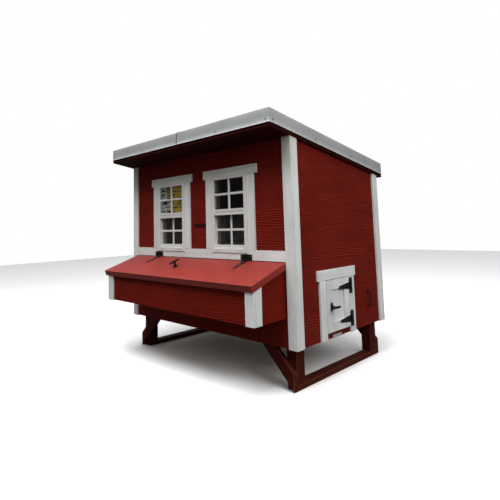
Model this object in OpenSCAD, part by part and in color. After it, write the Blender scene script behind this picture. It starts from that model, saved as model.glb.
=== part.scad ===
// Raised chicken coop: a panelled house on timber leg frames, with two sash windows, a row of nest
// boxes under a sloping lid, a small chicken door, a clean-out door and a mono-pitch metal roof.
// Millimetres, +Z up. X runs along the front, the front faces -Y. The origin is the centre of the
// bounding box, on the ground.

/* [Body] */
// Width of the body over its siding, along the front
body_w = 2058; // [1700:1:2600]
// Depth of the body over its siding
body_d = 1216; // [1010:1:1600]
// Height of the siding's lower edge above the ground
wall_z0 = 291; // [220:1:400]
// Thickness of the siding panels
siding_t = 11; // [9:1:16]
// Thickness of the white trim boards
trim_t = 16; // [12:1:19]
// Width of the corner boards
corner_w = 80; // [60:1:100]
// Width of the boards round windows and doors
casing_w = 76; // [60:1:90]

/* [Timber] */
// Thickness of the framing timber
stud_w = 38; // [34:1:45]
// Depth of the wall studs
stud_d = 64; // [50:1:70]
// Wide face of the leg braces, skids and rafters
plank_w = 89; // [80:1:100]
// Side of the square leg posts
post_w = 89; // [75:1:100]
// Thickness of the floor sheet
floor_t = 11; // [9:1:19]

/* [Legs] */
// How far the right leg frame stands in from the siding
leg_in_r = 50; // [20:1:120]
// How far the left leg frame stands in from the siding
leg_in_l = 95; // [20:1:120]

/* [Roof] */
// Height of the roof's front edge above the ground
roof_z = 1945; // [1900:1:2400]
// Slope of the roof, in degrees
roof_pitch = 9.5; // [7:0.5:11]
// Overhang past the front siding
over_f = 236; // [180:1:280]
// Overhang past the back siding
over_b = 98; // [70:1:120]
// Overhang past the right siding
over_r = 23; // [18:1:60]
// Overhang past the left siding
over_l = 42; // [18:1:60]
// Height of the metal edge strip
edge_h = 102; // [80:1:115]
// Height of the ribs of the roof sheet
rib_h = 16; // [10:1:20]
// Distance between the ribs
rib_pitch = 229; // [180:1:300]

/* [Windows] */
// Distance between the middles of the two windows
window_apart = 785; // [700:1:1000]
// Width of a window over its flange
window_w = 414; // [340:1:500]
// Height of a window over its flange
window_h = 610; // [500:1:740]
// Visible width of the side members
window_rail = 34; // [28:1:38]
// Width of the glazing bars
bar_w = 20; // [12:1:26]
// Height of the meeting rail
meet_h = 48; // [40:1:52]

/* [Nest boxes] */
// How far the nest box stands out from the front siding, over its boards
nest_out = 350; // [280:1:430]
// Height of the underside of the nest box
nest_z0 = 498; // [470:1:520]
// Distance of the nest box boards from the right siding
nest_in_r = 66; // [60:1:120]
// Distance of the nest box boards from the left siding
nest_in_l = 96; // [60:1:120]
// Number of nest compartments
nests = 6; // [4:1:7]
// Height of the lid's top at the wall
lid_z = 883; // [840:1:920]
// Slope of the lid, in degrees
lid_pitch = 18.6; // [15:0.1:20]
// Overhang of the lid past the front of the nest box
lid_over = 24; // [10:1:40]
// Thickness of the rim under the lid's sheet
lid_rim = 38; // [30:1:40]

/* [Chicken door] */
// Distance of the door opening from the front siding
door_y0 = 347; // [290:1:420]
// Width of the door opening
door_w = 324; // [270:1:390]
// Height of the opening's lower edge
door_z0 = 334; // [334:1:345]
// Height of the door opening
door_h = 389; // [324:1:467]
// Gap round the doors
door_gap = 2.5; // [1.5:0.5:4]

/* [Clean-out door] */
// Width of the clean-out opening in the back wall
access_w = 760; // [600:10:900]
// Height of the clean-out opening in the back wall
access_h = 880; // [730:10:1060]

/* [Hardware] */
// Radius of a hinge knuckle
knuckle_r = 5; // [4:0.5:7]
// Radius of a hinge pin
pin_r = 2.5; // [2:0.5:3]
// Running clearance round a pin, in the radius
pin_gap = 0.05; // [0.02:0.01:0.1]
// Length of a hinge strap
strap_l = 152; // [120:1:170]
// Width of a hinge leaf, across the hinge line
leaf_w = 42; // [34:1:48]
// Length of a hinge leaf, along the hinge line
leaf_l = 122; // [100:1:130]
// Length of the T-handle's bar
tee_l = 92; // [80:1:110]
// Height of the T-handle's bar above the surface
tee_h = 46; // [38:1:55]

/* [Hidden] */
$fn = 32;

red = "firebrick";
raw = "burlywood";
white = "gainsboro";
black = "dimgray";
steel = "silver";

fit = 0.5;              // gap between moving and fixed timber
seat = 0.1;             // play under the sloping pieces, so that they rest without biting
lid_out = nest_out + lid_over;   // reach of the lid from the front siding
metal_t = 1.2;          // thickness of the roof metal
lip = 5;                // kick-out along the lower edge of the metal strip
deck_t = 11;            // roof sheathing
soffit_t = 9;           // soffit sheet
board_t = 19;           // fascia board
strip_flange = 75;      // top flange of the edge strips
leaf_t = 2.5;           // thickness of hinge plates
plate_t = 3;            // thickness of handle plates
hole_r = 2.6;           // screw holes in hinges, straps and handle plates
past = 1;               // how far a cutter passes the face that it cuts
reach = trim_t + tee_h + 6;   // how far the door handle stands out from the siding

xr = (body_w + over_l + lip - reach) / 2;             // right siding face
xl = xr - body_w;                                     // left siding face
yf = -(body_d + over_b + lip - lid_out) / 2;          // front siding face
yb = yf + body_d;                                     // back siding face
floor_z = wall_z0 + stud_w + floor_t;                 // top of the floor sheet
frame_y0 = yf + siding_t;                             // outer face of the front framing
frame_y1 = yb - siding_t;
frame_x0 = xl + siding_t;
frame_x1 = xr - siding_t;

// Depths below the top of the roof, square to its slope
sheet_drop = metal_t + rib_h + 3 * seat;
deck_drop = sheet_drop + metal_t + seat;
rafter_drop = deck_drop + deck_t;
soffit_drop = rafter_drop + plank_w;
roof_drop = soffit_drop + soffit_t;

function roof_top(y) = roof_z - (y - (yf - over_f)) * tan(roof_pitch);
function under(y, drop) = roof_top(y) - drop / cos(roof_pitch);

// A block between two opposite corners
module block(a, b) translate(a) cube(b - a);
// An outline in Y and Z, drawn out along X
module along_x(x0, x1, outline)
    translate([x0, 0, 0]) rotate([90, 0, 90]) linear_extrude(x1 - x0) polygon(outline);
// An outline in X and Z, drawn out along Y
module along_y(y0, y1, outline)
    translate([0, y1, 0]) rotate([90, 0, 0]) linear_extrude(y1 - y0) polygon(outline);
// A slab of the roof between two depths, with plumb ends
module roof_slab(x0, x1, y0, y1, top, bottom)
    along_x(x0, x1, [[y0, under(y0, bottom)], [y1, under(y1, bottom)],
                     [y1, under(y1, top)], [y0, under(y0, top)]]);
// Everything below a depth of the roof
module below_roof(drop)
    along_x(xl - 200, xr + 200, [[yf - 400, 0], [yb + 400, 0],
                                 [yb + 400, under(yb + 400, drop)], [yf - 400, under(yf - 400, drop)]]);

// ---- leg frames ----
post_y0 = frame_y0 + stud_w;             // front face of the front posts, behind the brace
post_y1 = frame_y1 - stud_w - post_w;    // front face of the back posts
leg_xr = xr - leg_in_r;                  // outer face of the right leg frame
leg_xl = xl + leg_in_l;                  // outer face of the left leg frame

module skid(x0)
    color(red) block([x0, post_y0, 0], [x0 + plank_w, post_y1 + post_w, stud_w]);
module posts(x0)
    color(red) for (y = [post_y0, post_y1]) block([x0, y, stud_w], [x0 + post_w, y + post_w, wall_z0]);
// A 45 degree brace from the foot of a post, cut plumb below and level above; side is 1 or -1
module brace(x, y, side) {
    plumb = plank_w * sqrt(2);
    color(red) translate([x, y + stud_w, 0]) rotate([90, 0, 0]) linear_extrude(stud_w)
        polygon([[0, 0], [0, plumb], [side * (wall_z0 - plumb), wall_z0], [side * wall_z0, wall_z0]]);
}
module braces(x, side) for (y = [frame_y0, frame_y1 - stud_w]) brace(x, y, side);

module skids() for (x = [leg_xl, leg_xr - plank_w]) skid(x);
module posts_left() posts(leg_xl);
module posts_right() posts(leg_xr - post_w);
module braces_left() braces(leg_xl, 1);
module braces_right() braces(leg_xr, -1);

// ---- floor ----
joists = 4;
module floor_frame() {
    color(raw) {
        for (y = [frame_y0, frame_y1 - plank_w])
            block([frame_x0, y, wall_z0], [frame_x1, y + plank_w, wall_z0 + stud_w]);
        for (i = [0 : joists - 1]) {
            x = frame_x0 + i * (frame_x1 - frame_x0 - plank_w) / (joists - 1);
            block([x, frame_y0 + plank_w, wall_z0], [x + plank_w, frame_y1 - plank_w, wall_z0 + stud_w]);
        }
    }
}
module floor_panel()
    color(raw) block([frame_x0, frame_y0, wall_z0 + stud_w], [frame_x1, frame_y1, floor_z]);

// ---- windows ----
band_z1 = lid_z + 78;                     // upper edge of the band board
flange_over = 24;                         // the flange covers this much of the band board
window_z0 = band_z1 - flange_over;        // lower edge of the window flange
window_z1 = window_z0 + window_h;
win_mid = (xl + xr) / 2;
win_x = [win_mid + window_apart / 2, win_mid - window_apart / 2];   // right and left windows
flange_w = 12;                            // the flange passes the part inside the wall
win_box = window_w / 2 - flange_w;        // half width of the part inside the wall
win_in = window_w / 2 - window_rail;      // half width of the daylight opening
flange_t = 5;                             // the flange stands proud of the trim
win_head_h = 17;                          // visible height of the head
win_top = window_z1 - win_head_h;         // upper edge of the daylight opening
win_sill_h = 46;                          // visible height of the sill
win_sill = window_z0 + win_sill_h;        // lower edge of the opening in the frame
win_depth = 34;                           // depth of the frame behind the siding face
win_foot = 27;                            // the flange hangs this far below the part inside the wall
track_y = yf + 5;                         // where the inner track starts
track_w = 11;                             // depth of the track in the side members
track_head = 6;                           // what is left of the head above the track
track_in = win_in + track_w;              // half width of the inner track
meet_below = 26;                          // how far the meeting rail reaches below the middle
meet_z = (win_sill + 16 + win_top) / 2 - meet_below;   // lower edge of the meeting rail
light_z0 = meet_z + meet_h;               // lower edge of the upper light
meet_y = [yf - 17, yf + 3];               // front and back of the meeting rail
bar_y = [yf - 12, yf - 4];                // front and back of the upper glazing bars
pane_t = 3;

// A cross of glazing bars in an opening round x
module bars(x, half, z0, z1, y0, y1) {
    z = (z0 + z1 - bar_w) / 2;
    block([x - bar_w / 2, y0, z0], [x + bar_w / 2, y1, z1]);
    for (s = [-1, 1])
        block([x + min(s * bar_w / 2, s * half), y0, z], [x + max(s * bar_w / 2, s * half), y1, z + bar_w]);
}
module window_frame(x) {
    wall_z = window_z0 + win_foot;
    color(white) difference() {
        union() {
            block([x - window_w / 2, yf - trim_t - flange_t, window_z0],
                  [x + window_w / 2, yf - trim_t, window_z1]);
            block([x - win_box, yf - trim_t, wall_z], [x + win_box, yf + win_depth, window_z1]);
        }
        block([x - win_in, yf - trim_t - flange_t - past, win_sill],
              [x + win_in, yf + win_depth + past, win_top]);
        block([x - track_in, track_y, win_sill],
              [x + track_in, yf + win_depth + past, window_z1 - track_head]);
    }
    // fixed upper light: meeting rail and glazing bars in the outer track
    color(white) {
        block([x - win_in, meet_y[0], meet_z], [x + win_in, meet_y[1], light_z0]);
        bars(x, win_in, light_z0, win_top, bar_y[0], bar_y[1]);
    }
}
module window_frame_left() window_frame(win_x[1]);
module window_frame_right() window_frame(win_x[0]);
module fixed_panes()
    color("lightblue", 0.4) for (x = win_x)
        block([x - win_in, bar_y[1], light_z0], [x + win_in, bar_y[1] + pane_t, win_top]);

sash_y = track_y + 2;       // front of the sliding sash
sash_t = 15;
sash_half = track_in - fit; // half width of the sliding sash
sash_stile = 13;
sash_rail = 15;             // bottom rail
sash_in = sash_half - sash_stile;
sash_z0 = win_sill + fit;
sash_pane_z = [sash_z0 + sash_rail, light_z0 - meet_h];
sash_bar_y = [sash_y + 1, sash_y + 7];
module sash(x) {
    color(white) {
        difference() {
            block([x - sash_half, sash_y, sash_z0], [x + sash_half, sash_y + sash_t, light_z0]);
            block([x - sash_in, sash_y - past, sash_pane_z[0]],
                  [x + sash_in, sash_y + sash_t + past, sash_pane_z[1]]);
        }
        bars(x, sash_in, sash_pane_z[0], sash_pane_z[1], sash_bar_y[0], sash_bar_y[1]);
    }
}
module sash_pane(x)
    color("lightblue", 0.4) block([x - sash_in, sash_bar_y[1], sash_pane_z[0]],
                                  [x + sash_in, sash_bar_y[1] + pane_t, sash_pane_z[1]]);
module sash_left() sash(win_x[1]);
module sash_right() sash(win_x[0]);
module sash_pane_left() sash_pane(win_x[1]);
module sash_pane_right() sash_pane(win_x[0]);
screen_y = sash_y + sash_t + 2;   // front of the insect screens
screen_t = 6;                     // thickness of their frames
screen_w = 12;                    // width of their frames
mesh_t = 2;
module insect_screens()
    color("darkgray") for (x = win_x) difference() {
        block([x - track_in, screen_y, win_sill], [x + track_in, screen_y + screen_t, light_z0]);
        block([x - track_in + screen_w, screen_y + mesh_t, win_sill + screen_w],
              [x + track_in - screen_w, screen_y + screen_t + past, light_z0 - screen_w]);
    }

casing_over = 32;            // how far a head casing passes the side casings
casing_head = casing_w - 3;  // height of a head casing over a window
module window_casing(x) {
    half = window_w / 2 + casing_w;
    color(white) {
        for (s = [-1, 1])
            block([x + min(s * (half - casing_w), s * half), yf - trim_t, band_z1],
                  [x + max(s * (half - casing_w), s * half), yf, window_z1]);
        block([x - half - casing_over, yf - trim_t, window_z1],
              [x + half + casing_over, yf, window_z1 + casing_head]);
    }
}
module window_casing_left() window_casing(win_x[1]);
module window_casing_right() window_casing(win_x[0]);

// ---- nest boxes ----
nest_x1 = xr - nest_in_r;                  // right face of the nest box boards
nest_x0 = xl + nest_in_l;                  // left face of the nest box boards
nest_y0 = yf - nest_out;                   // front face of the nest box boards
nest_in_x0 = nest_x0 + trim_t + siding_t;  // inside faces
nest_in_x1 = nest_x1 - trim_t - siding_t;
nest_in_y = nest_y0 + trim_t + siding_t;
nest_step = (nest_in_x1 - nest_in_x0) / nests;
nest_top = nest_z0 + floor_t;              // upper face of the nest floor
nest_lip = 50;                             // lip that keeps the straw in
nest_drip = 2;                             // the corner boards pass the floor by this
lid_t = siding_t + lid_rim;
function lid_top(y) = lid_z + (y - (yf - trim_t)) * tan(lid_pitch);
function lid_under(y, drop) = lid_top(y) - drop / cos(lid_pitch);
nest_head = lid_under(yf, lid_t) - 12;     // upper edge of the openings in the wall
nest_side = 20;                            // wall left beside each opening
module under_lid(drop)
    along_x(xl - 100, xr + 100, [[yf - 500, 0], [yf, 0], [yf, lid_under(yf, drop)],
                                 [yf - 500, lid_under(yf - 500, drop)]]);
// The lid's turn bar locks under a keeper on the left side of the middle divider
keeper_x1 = nest_in_x0 + ceil(nests / 2) * nest_step - siding_t / 2;
keeper_half = 20;
keeper_gap = 3;                            // clearance over and under the turn bar
handle_x = keeper_x1 - 90.5;               // T-handle on the lid
lid_mid = lid_out / 2 + 7.5;               // its distance from the front siding

module nest_front()
    color(red) intersection() {
        block([nest_x0 + trim_t, nest_y0 + trim_t, nest_z0], [nest_x1 - trim_t, nest_in_y, lid_z]);
        under_lid(lid_t + fit);
    }
module nest_ends()
    color(red) intersection() {
        for (x = [nest_x0 + trim_t, nest_x1 - trim_t - siding_t])
            block([x, nest_in_y, nest_z0], [x + siding_t, yf, lid_z]);
        under_lid(lid_t + fit);
    }
module nest_floor()
    color(raw) block([nest_in_x0, nest_in_y, nest_z0], [nest_in_x1, yf, nest_top]);
// A block of the keeper, down to a depth below the lid's top
module keeper(x0, x1, depth) {
    y0 = yf - lid_mid - keeper_half;
    y1 = yf - lid_mid + keeper_half;
    top = siding_t + keeper_gap;
    along_x(x0, x1, [[y0, lid_under(y0, depth)], [y1, lid_under(y1, depth)],
                     [y1, lid_under(y1, top)], [y0, lid_under(y0, top)]]);
}
module nest_dividers()
    color(raw) {
        intersection() {
            for (i = [1 : nests - 1]) {
                x = nest_in_x0 + i * nest_step;
                block([x - siding_t / 2, nest_in_y, nest_top], [x + siding_t / 2, yf, lid_z]);
            }
            under_lid(lid_t + fit);
        }
        keeper(keeper_x1 - stud_w, keeper_x1, lid_inner - keeper_gap);
        keeper(keeper_x1, keeper_x1 + siding_t, lid_t + fit);
    }
module nest_corner_boards()
    color(white) intersection() {
        for (s = [0, 1]) {
            x0 = s == 0 ? nest_x0 : nest_x1 - corner_w;
            xs = s == 0 ? nest_x0 : nest_x1 - trim_t;
            block([x0, nest_y0, nest_z0 - nest_drip], [x0 + corner_w, nest_y0 + trim_t, lid_z]);
            block([xs, nest_y0 + trim_t, nest_z0 - nest_drip], [xs + trim_t, nest_y0 + corner_w, lid_z]);
        }
        under_lid(lid_t + fit);
    }

lid_over_l = 34;             // overhang past the left end of the nest box
lid_over_r = 4;              // overhang past its right end
lid_back = 3;                // gap between the lid and the band board
lid_x0 = nest_x0 - lid_over_l;
lid_x1 = nest_x1 + lid_over_r;
lid_y0 = yf - lid_out;
lid_y1 = yf - trim_t - lid_back;
rim_back = 19;               // widths of the battens under the lid's sheet
rim_front = 51;
rim_side = 55;
shaft_hole_r = 8;            // holes for the handle shafts
// A slab of the lid between two depths, square to its slope at the front and plumb at the back
module lid_slab(x0, x1, y0, y1, top, bottom)
    along_x(x0, x1, [[y0 + bottom * sin(lid_pitch), lid_under(y0, 0) - bottom * cos(lid_pitch)],
                     [y1, lid_under(y1, bottom)], [y1, lid_under(y1, top)],
                     [y0 + top * sin(lid_pitch), lid_under(y0, 0) - top * cos(lid_pitch)]]);
module shaft_hole() translate([0, 0, -60]) cylinder(r = shaft_hole_r, h = 80);
module nest_lid()
    color("indianred") difference() {
        union() {
            lid_slab(lid_x0, lid_x1, lid_y0, lid_y1, 0, siding_t);
            difference() {
                lid_slab(lid_x0, lid_x1, lid_y0, lid_y1, siding_t, lid_t);
                lid_slab(lid_x0 + rim_side, lid_x1 - rim_side, lid_y0 + rim_front, lid_y1 - rim_back,
                         siding_t - 0.01, lid_t + 10);
            }
        }
        at_lid_handle() shaft_hole();
    }

// ---- framing of the walls ----
module upright(x, y, z0, z1, w = stud_w, d = stud_d) block([x, y, z0], [x + w, y + d, z1]);
wall_in = frame_y0 + stud_d;
rail_z = lid_z - 20;                       // rail between the nest openings and the windows
rough = 2;                                 // play round doors and windows in the framing
top_z = roof_z;
module studs_front()
    color(raw) intersection() {
        union() {
            block([frame_x0, frame_y0, floor_z], [frame_x1, wall_in, floor_z + stud_w]);
            block([frame_x0 + stud_w, frame_y0, rail_z], [frame_x1 - stud_w, wall_in, rail_z + stud_w]);
            block([frame_x0 + stud_w, frame_y0, under(wall_in, soffit_drop) - stud_w],
                  [frame_x1 - stud_w, wall_in, top_z]);
            for (x = [frame_x0, frame_x1 - stud_w]) upright(x, frame_y0, floor_z + stud_w, top_z);
            for (i = [1 : nests - 1])
                upright(nest_in_x0 + i * nest_step - stud_w / 2, frame_y0, floor_z + stud_w, rail_z);
            for (x = win_x, s = [-1, 1])
                upright(x + s * (win_box + rough + stud_w / 2) - stud_w / 2, frame_y0,
                        rail_z + stud_w, under(wall_in, soffit_drop) - stud_w);
        }
        below_roof(soffit_drop + seat);
    }

access_x = (xl + xr) / 2;                  // middle of the clean-out door
access_z0 = floor_z + 5;
access_z1 = access_z0 + access_h;
module studs_back() {
    y = frame_y1 - stud_d;
    top = under(frame_y1, soffit_drop) - stud_w;
    color(raw) intersection() {
        union() {
            for (s = [-1, 1]) {
                x0 = access_x + s * (access_w / 2 + rough);
                x1 = s < 0 ? frame_x0 : frame_x1;
                block([min(x0, x1), y, floor_z], [max(x0, x1), frame_y1, floor_z + stud_w]);
                upright(min(x0, x0 + s * stud_w), y, floor_z + stud_w, top);
            }
            block([access_x - access_w / 2 - rough, y, access_z1 + rough],
                  [access_x + access_w / 2 + rough, frame_y1, access_z1 + rough + stud_w]);
            block([frame_x0 + stud_w, y, top], [frame_x1 - stud_w, frame_y1, top_z]);
            for (x = [frame_x0, frame_x1 - stud_w]) upright(x, y, floor_z + stud_w, top_z);
        }
        below_roof(soffit_drop + seat);
    }
}
side_y0 = wall_in;
side_y1 = frame_y1 - stud_d;
module side_frame(x, door) {
    door_a = yf + door_y0 - rough - stud_w;
    door_b = yf + door_y0 + door_w + rough;
    door_head = door_z0 + door_h + rough;
    intersection() {
        union() {
            if (door) {
                block([x, side_y0, floor_z], [x + stud_d, door_a, floor_z + stud_w]);
                block([x, door_b + stud_w, floor_z], [x + stud_d, side_y1, floor_z + stud_w]);
                for (y = [door_a, door_b]) block([x, y, floor_z], [x + stud_d, y + stud_w, top_z]);
                block([x, door_a + stud_w, door_head], [x + stud_d, door_b, door_head + stud_w]);
            } else {
                block([x, side_y0, floor_z], [x + stud_d, side_y1, floor_z + stud_w]);
                block([x, door_b, floor_z + stud_w], [x + stud_d, door_b + stud_w, top_z]);
            }
        }
        below_roof(soffit_drop + stud_w);
    }
    intersection() {
        block([x, side_y0, floor_z + stud_w], [x + stud_d, side_y1, top_z]);
        difference() { below_roof(soffit_drop + seat); below_roof(soffit_drop + stud_w); }
    }
}
module studs_sides() color(raw) {
    side_frame(frame_x0, false);
    side_frame(frame_x1 - stud_d, true);
}

// ---- siding ----
module siding_front()
    color(red) intersection() {
        difference() {
            block([xl, yf, wall_z0], [xr, frame_y0, top_z]);
            for (x = win_x)
                block([x - win_box - 1, yf - past, window_z0 + win_foot - 1],
                      [x + win_box + 1, frame_y0 + past, window_z1 + 1]);
            for (i = [0 : nests - 1])
                block([nest_in_x0 + i * nest_step + nest_side, yf - past, nest_top + nest_lip],
                      [nest_in_x0 + (i + 1) * nest_step - nest_side, frame_y0 + past, nest_head]);
        }
        below_roof(soffit_drop + seat);
    }
module siding_back()
    color(red) intersection() {
        difference() {
            block([xl, frame_y1, wall_z0], [xr, yb, top_z]);
            block([access_x - access_w / 2, frame_y1 - 1, access_z0],
                  [access_x + access_w / 2, yb + 1, access_z1]);
        }
        below_roof(soffit_drop + seat);
    }
module side_sheet(x)
    intersection() {
        block([x, frame_y0, wall_z0], [x + siding_t, frame_y1, top_z]);
        below_roof(rafter_drop + seat);
    }
module siding_left() color(red) side_sheet(xl);
module siding_right()
    color(red) difference() {
        side_sheet(frame_x1);
        block([frame_x1 - 1, yf + door_y0, door_z0], [xr + 1, yf + door_y0 + door_w, door_z0 + door_h]);
    }

// ---- white trim ----
corner_drip = 1;             // the corner boards pass the siding by this
// A pair of boards round one corner; sx and sy point out of the corner
module corner_pair(x, y, sx, sy) {
    fx = x + sx * trim_t;
    fy = y + sy * trim_t;
    x_in = fx - sx * corner_w;
    y_in = fy - sy * corner_w;
    z0 = wall_z0 - corner_drip;
    block([min(fx, x_in), min(y, fy), z0], [max(fx, x_in), max(y, fy), top_z]);
    block([min(x, fx), min(y, y_in), z0], [max(x, fx), max(y, y_in), top_z]);
}
module corner_boards_front()
    color(white) intersection() {
        union() { corner_pair(xr, yf, 1, -1); corner_pair(xl, yf, -1, -1); }
        below_roof(roof_drop);
    }
module corner_boards_back()
    color(white) intersection() {
        union() { corner_pair(xr, yb, 1, 1); corner_pair(xl, yb, -1, 1); }
        below_roof(roof_drop);
    }
module band_board()
    color(white) block([xl + corner_w - trim_t, yf - trim_t, lid_z + 1], [xr - corner_w + trim_t, yf, band_z1]);
module door_casings() {
    a = yf + door_y0;
    b = a + door_w;
    z1 = door_z0 + door_h;
    over = casing_over - 8;
    color(white) {
        block([xr, a - casing_w, wall_z0], [xr + trim_t, a, z1]);
        block([xr, b, wall_z0], [xr + trim_t, b + casing_w, z1]);
        block([xr, a - casing_w - over, z1], [xr + trim_t, b + casing_w + over, z1 + casing_w]);
        for (s = [-1, 1]) {
            x0 = access_x + s * access_w / 2;
            x1 = access_x + s * (access_w / 2 + casing_w);
            block([min(x0, x1), yb, access_z0 - casing_w / 2], [max(x0, x1), yb + trim_t, access_z1]);
        }
        block([access_x - access_w / 2 - casing_w - over, yb, access_z1],
              [access_x + access_w / 2 + casing_w + over, yb + trim_t, access_z1 + casing_w]);
    }
}

// ---- doors ----
panel_in = siding_t - fit;   // how far the doors reach behind the siding face
stile_w = 75;
recess = 12;                 // depth of the panels behind the stiles
module chicken_door() {
    y0 = yf + door_y0 + door_gap;
    y1 = yf + door_y0 + door_w - door_gap;
    z0 = door_z0 + door_gap;
    z1 = door_z0 + door_h - door_gap;
    color(white) difference() {
        block([xr - panel_in, y0, z0], [xr + trim_t, y1, z1]);
        block([xr + trim_t - recess, y0 + stile_w, z0 + stile_w],
              [xr + trim_t + past, y1 - stile_w, z1 - stile_w]);
        at_door_handle() shaft_hole();
    }
}
module access_door() {
    x0 = access_x - access_w / 2 + door_gap;
    x1 = access_x + access_w / 2 - door_gap;
    z0 = access_z0 + door_gap;
    z1 = access_z1 - door_gap;
    color(red) difference() {
        block([x0, yb - panel_in, z0], [x1, yb + trim_t, z1]);
        block([x0 + stile_w, yb + trim_t - recess, z0 + stile_w],
              [x1 - stile_w, yb + trim_t + past, z1 - stile_w]);
        at_access_handle() shaft_hole();
    }
}

// ---- hinges: local Y is the pin, local +Z leaves the surface, the leaf lies on +X, the strap on -X ----
strap_root = 50;           // width of a strap at the knuckle
strap_tip = 20;            // and near its end
strap_square = 18;         // length of its wide part
strap_point = 8;           // length of its pointed end
strap_nose = 4;            // half width of the end itself
strap_holes = [28, 82, 136] / 152;   // places of the holes, as shares of the length
leaf_hole = [0.62, 0.38];  // place of a leaf's holes, as shares of its width and length
knuckle_end = 12;          // the leaf passes the knuckles by this at each end
pin_head = [1.2, 1.5];     // how far a pin's head passes the pin, and its thickness
hinge_up = [62, 73];       // hinges above the foot and below the head of the door opening
pin_h = knuckle_r + 0.3;   // the knuckles stand this far off the surfaces, so they turn freely
door_pin = [xr + trim_t + pin_h, yf + door_y0 + door_w - door_gap / 2];
lid_pin_y = yf - trim_t - pin_h;
lid_pin_z = lid_top(lid_pin_y) + pin_h / cos(lid_pitch);
access_pin = [access_x - access_w / 2 + door_gap / 2, yb + trim_t + pin_h];
door_hinge_z = [door_z0 + hinge_up[0], door_z0 + door_h - hinge_up[1]];
lid_hinge_x = [nest_x1 - 382, nest_x0 + 351];
access_hinge_z = [access_z0 + 130, access_z1 - 130];

module hinge_leaf() {
    in = strap_root / 2 + fit;             // inner and outer ends of the two knuckles
    out = leaf_l / 2 - knuckle_end;
    difference() {
        union() {
            block([1, -leaf_l / 2, -pin_h], [leaf_w, leaf_l / 2, -pin_h + leaf_t]);
            for (s = [-1, 1]) {
                translate([0, s * (in + out) / 2, 0]) rotate([90, 0, 0])
                    cylinder(r = knuckle_r, h = out - in, center = true);
                block([0, min(s * in, s * out), -pin_h], [4, max(s * in, s * out), -pin_h + leaf_t]);
            }
        }
        rotate([90, 0, 0]) cylinder(r = pin_r + pin_gap / 2, h = leaf_l + 2 * past, center = true);
        block([-knuckle_r - past, -in, -pin_h - past], [knuckle_r + past, in, knuckle_r + past]);
        for (s = [-1, 1])
            translate([leaf_w * leaf_hole[0], s * leaf_l * leaf_hole[1], -pin_h - past])
                cylinder(r = hole_r, h = leaf_t + 2 * past);
    }
}
module hinge_pin() {
    half = leaf_l / 2 - knuckle_end;
    rotate([90, 0, 0]) {
        cylinder(r = pin_r, h = 2 * half, center = true);
        for (s = [-1, 1]) translate([0, 0, s * (half + pin_head[1] / 2)])
            cylinder(r = pin_r + pin_head[0], h = pin_head[1], center = true);
    }
}
module hinge_strap() {
    difference() {
        union() {
            translate([0, 0, -pin_h]) linear_extrude(leaf_t)
                polygon([[0, -strap_root / 2], [0, strap_root / 2], [-strap_square, strap_root / 2],
                         [strap_point - strap_l, strap_tip / 2], [-strap_l, strap_nose],
                         [-strap_l, -strap_nose], [strap_point - strap_l, -strap_tip / 2],
                         [-strap_square, -strap_root / 2]]);
            rotate([90, 0, 0]) cylinder(r = knuckle_r, h = strap_root, center = true);
        }
        rotate([90, 0, 0]) cylinder(r = pin_r + pin_gap, h = strap_root + 2 * past, center = true);
        for (share = strap_holes)
            translate([-share * strap_l, 0, -pin_h - past]) cylinder(r = hole_r, h = leaf_t + 2 * past);
    }
}
module at_door_hinges()
    for (z = door_hinge_z) translate([door_pin[0], door_pin[1], z]) rotate([90, 0, 90]) children();
module at_access_hinges()
    for (z = access_hinge_z) translate([access_pin[0], access_pin[1], z]) rotate([90, 0, 180]) children();
// tilt is the angle of the plate's own surface from level
module at_lid_hinges(tilt)
    for (x = lid_hinge_x) translate([x, lid_pin_y, lid_pin_z]) rotate([tilt, 0, 0]) rotate([0, 0, 90]) children();

module hinge_leaves() color(black) {
    at_door_hinges() hinge_leaf();
    at_access_hinges() hinge_leaf();
    at_lid_hinges(90) hinge_leaf();
}
module hinge_pins() color(black) {
    at_door_hinges() hinge_pin();
    at_access_hinges() hinge_pin();
    at_lid_hinges(lid_pitch) hinge_pin();
}
module door_straps() color(black) at_door_hinges() hinge_strap();
module lid_straps() color(black) at_lid_hinges(lid_pitch) hinge_strap();
module access_straps() color(black) at_access_hinges() hinge_strap();

// ---- T-handles: local +Z leaves the surface, the bar lies along X, the turn bar inside along +Y ----
shaft_r = 5;
plate_half = 20;     // half length of a handle plate's straight part
plate_hole = 25;     // distance of its holes from the shaft
turn_t = 3;          // thickness of a turn bar
turn_w = 7;          // its half width
turn_l = 82;         // its length on the doors
knob_r = 6;          // radius of the handle's bar
door_handle = [door_y0 + door_gap + 60, door_z0 + door_h / 2 - 6];   // from the front siding, and height
access_handle = [access_x + access_w / 2 - 64, (access_z0 + access_z1) / 2];
module at_door_handle()
    translate([xr + trim_t, yf + door_handle[0], door_handle[1]]) rotate([90, 0, 90]) children();
module at_access_handle()
    translate([access_handle[0], yb + trim_t, access_handle[1]]) rotate([90, 0, 180]) children();
module at_lid_handle()
    translate([handle_x, yf - lid_mid, lid_top(yf - lid_mid)])
        rotate([lid_pitch, 0, 0]) rotate([0, 0, 90]) children();
module handle_plate()
    color(black) difference() {
        linear_extrude(plate_t) union() {
            for (s = [-1, 1]) translate([0, s * plate_half]) circle(r = 13);
            translate([-16, -plate_half]) square([32, 2 * plate_half]);
        }
        translate([0, 0, -past]) cylinder(r = shaft_r + pin_gap, h = plate_t + 3 * past);
        for (s = [-1, 1])
            translate([0, s * plate_hole, -past]) cylinder(r = hole_r, h = plate_t + 3 * past);
    }
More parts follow.
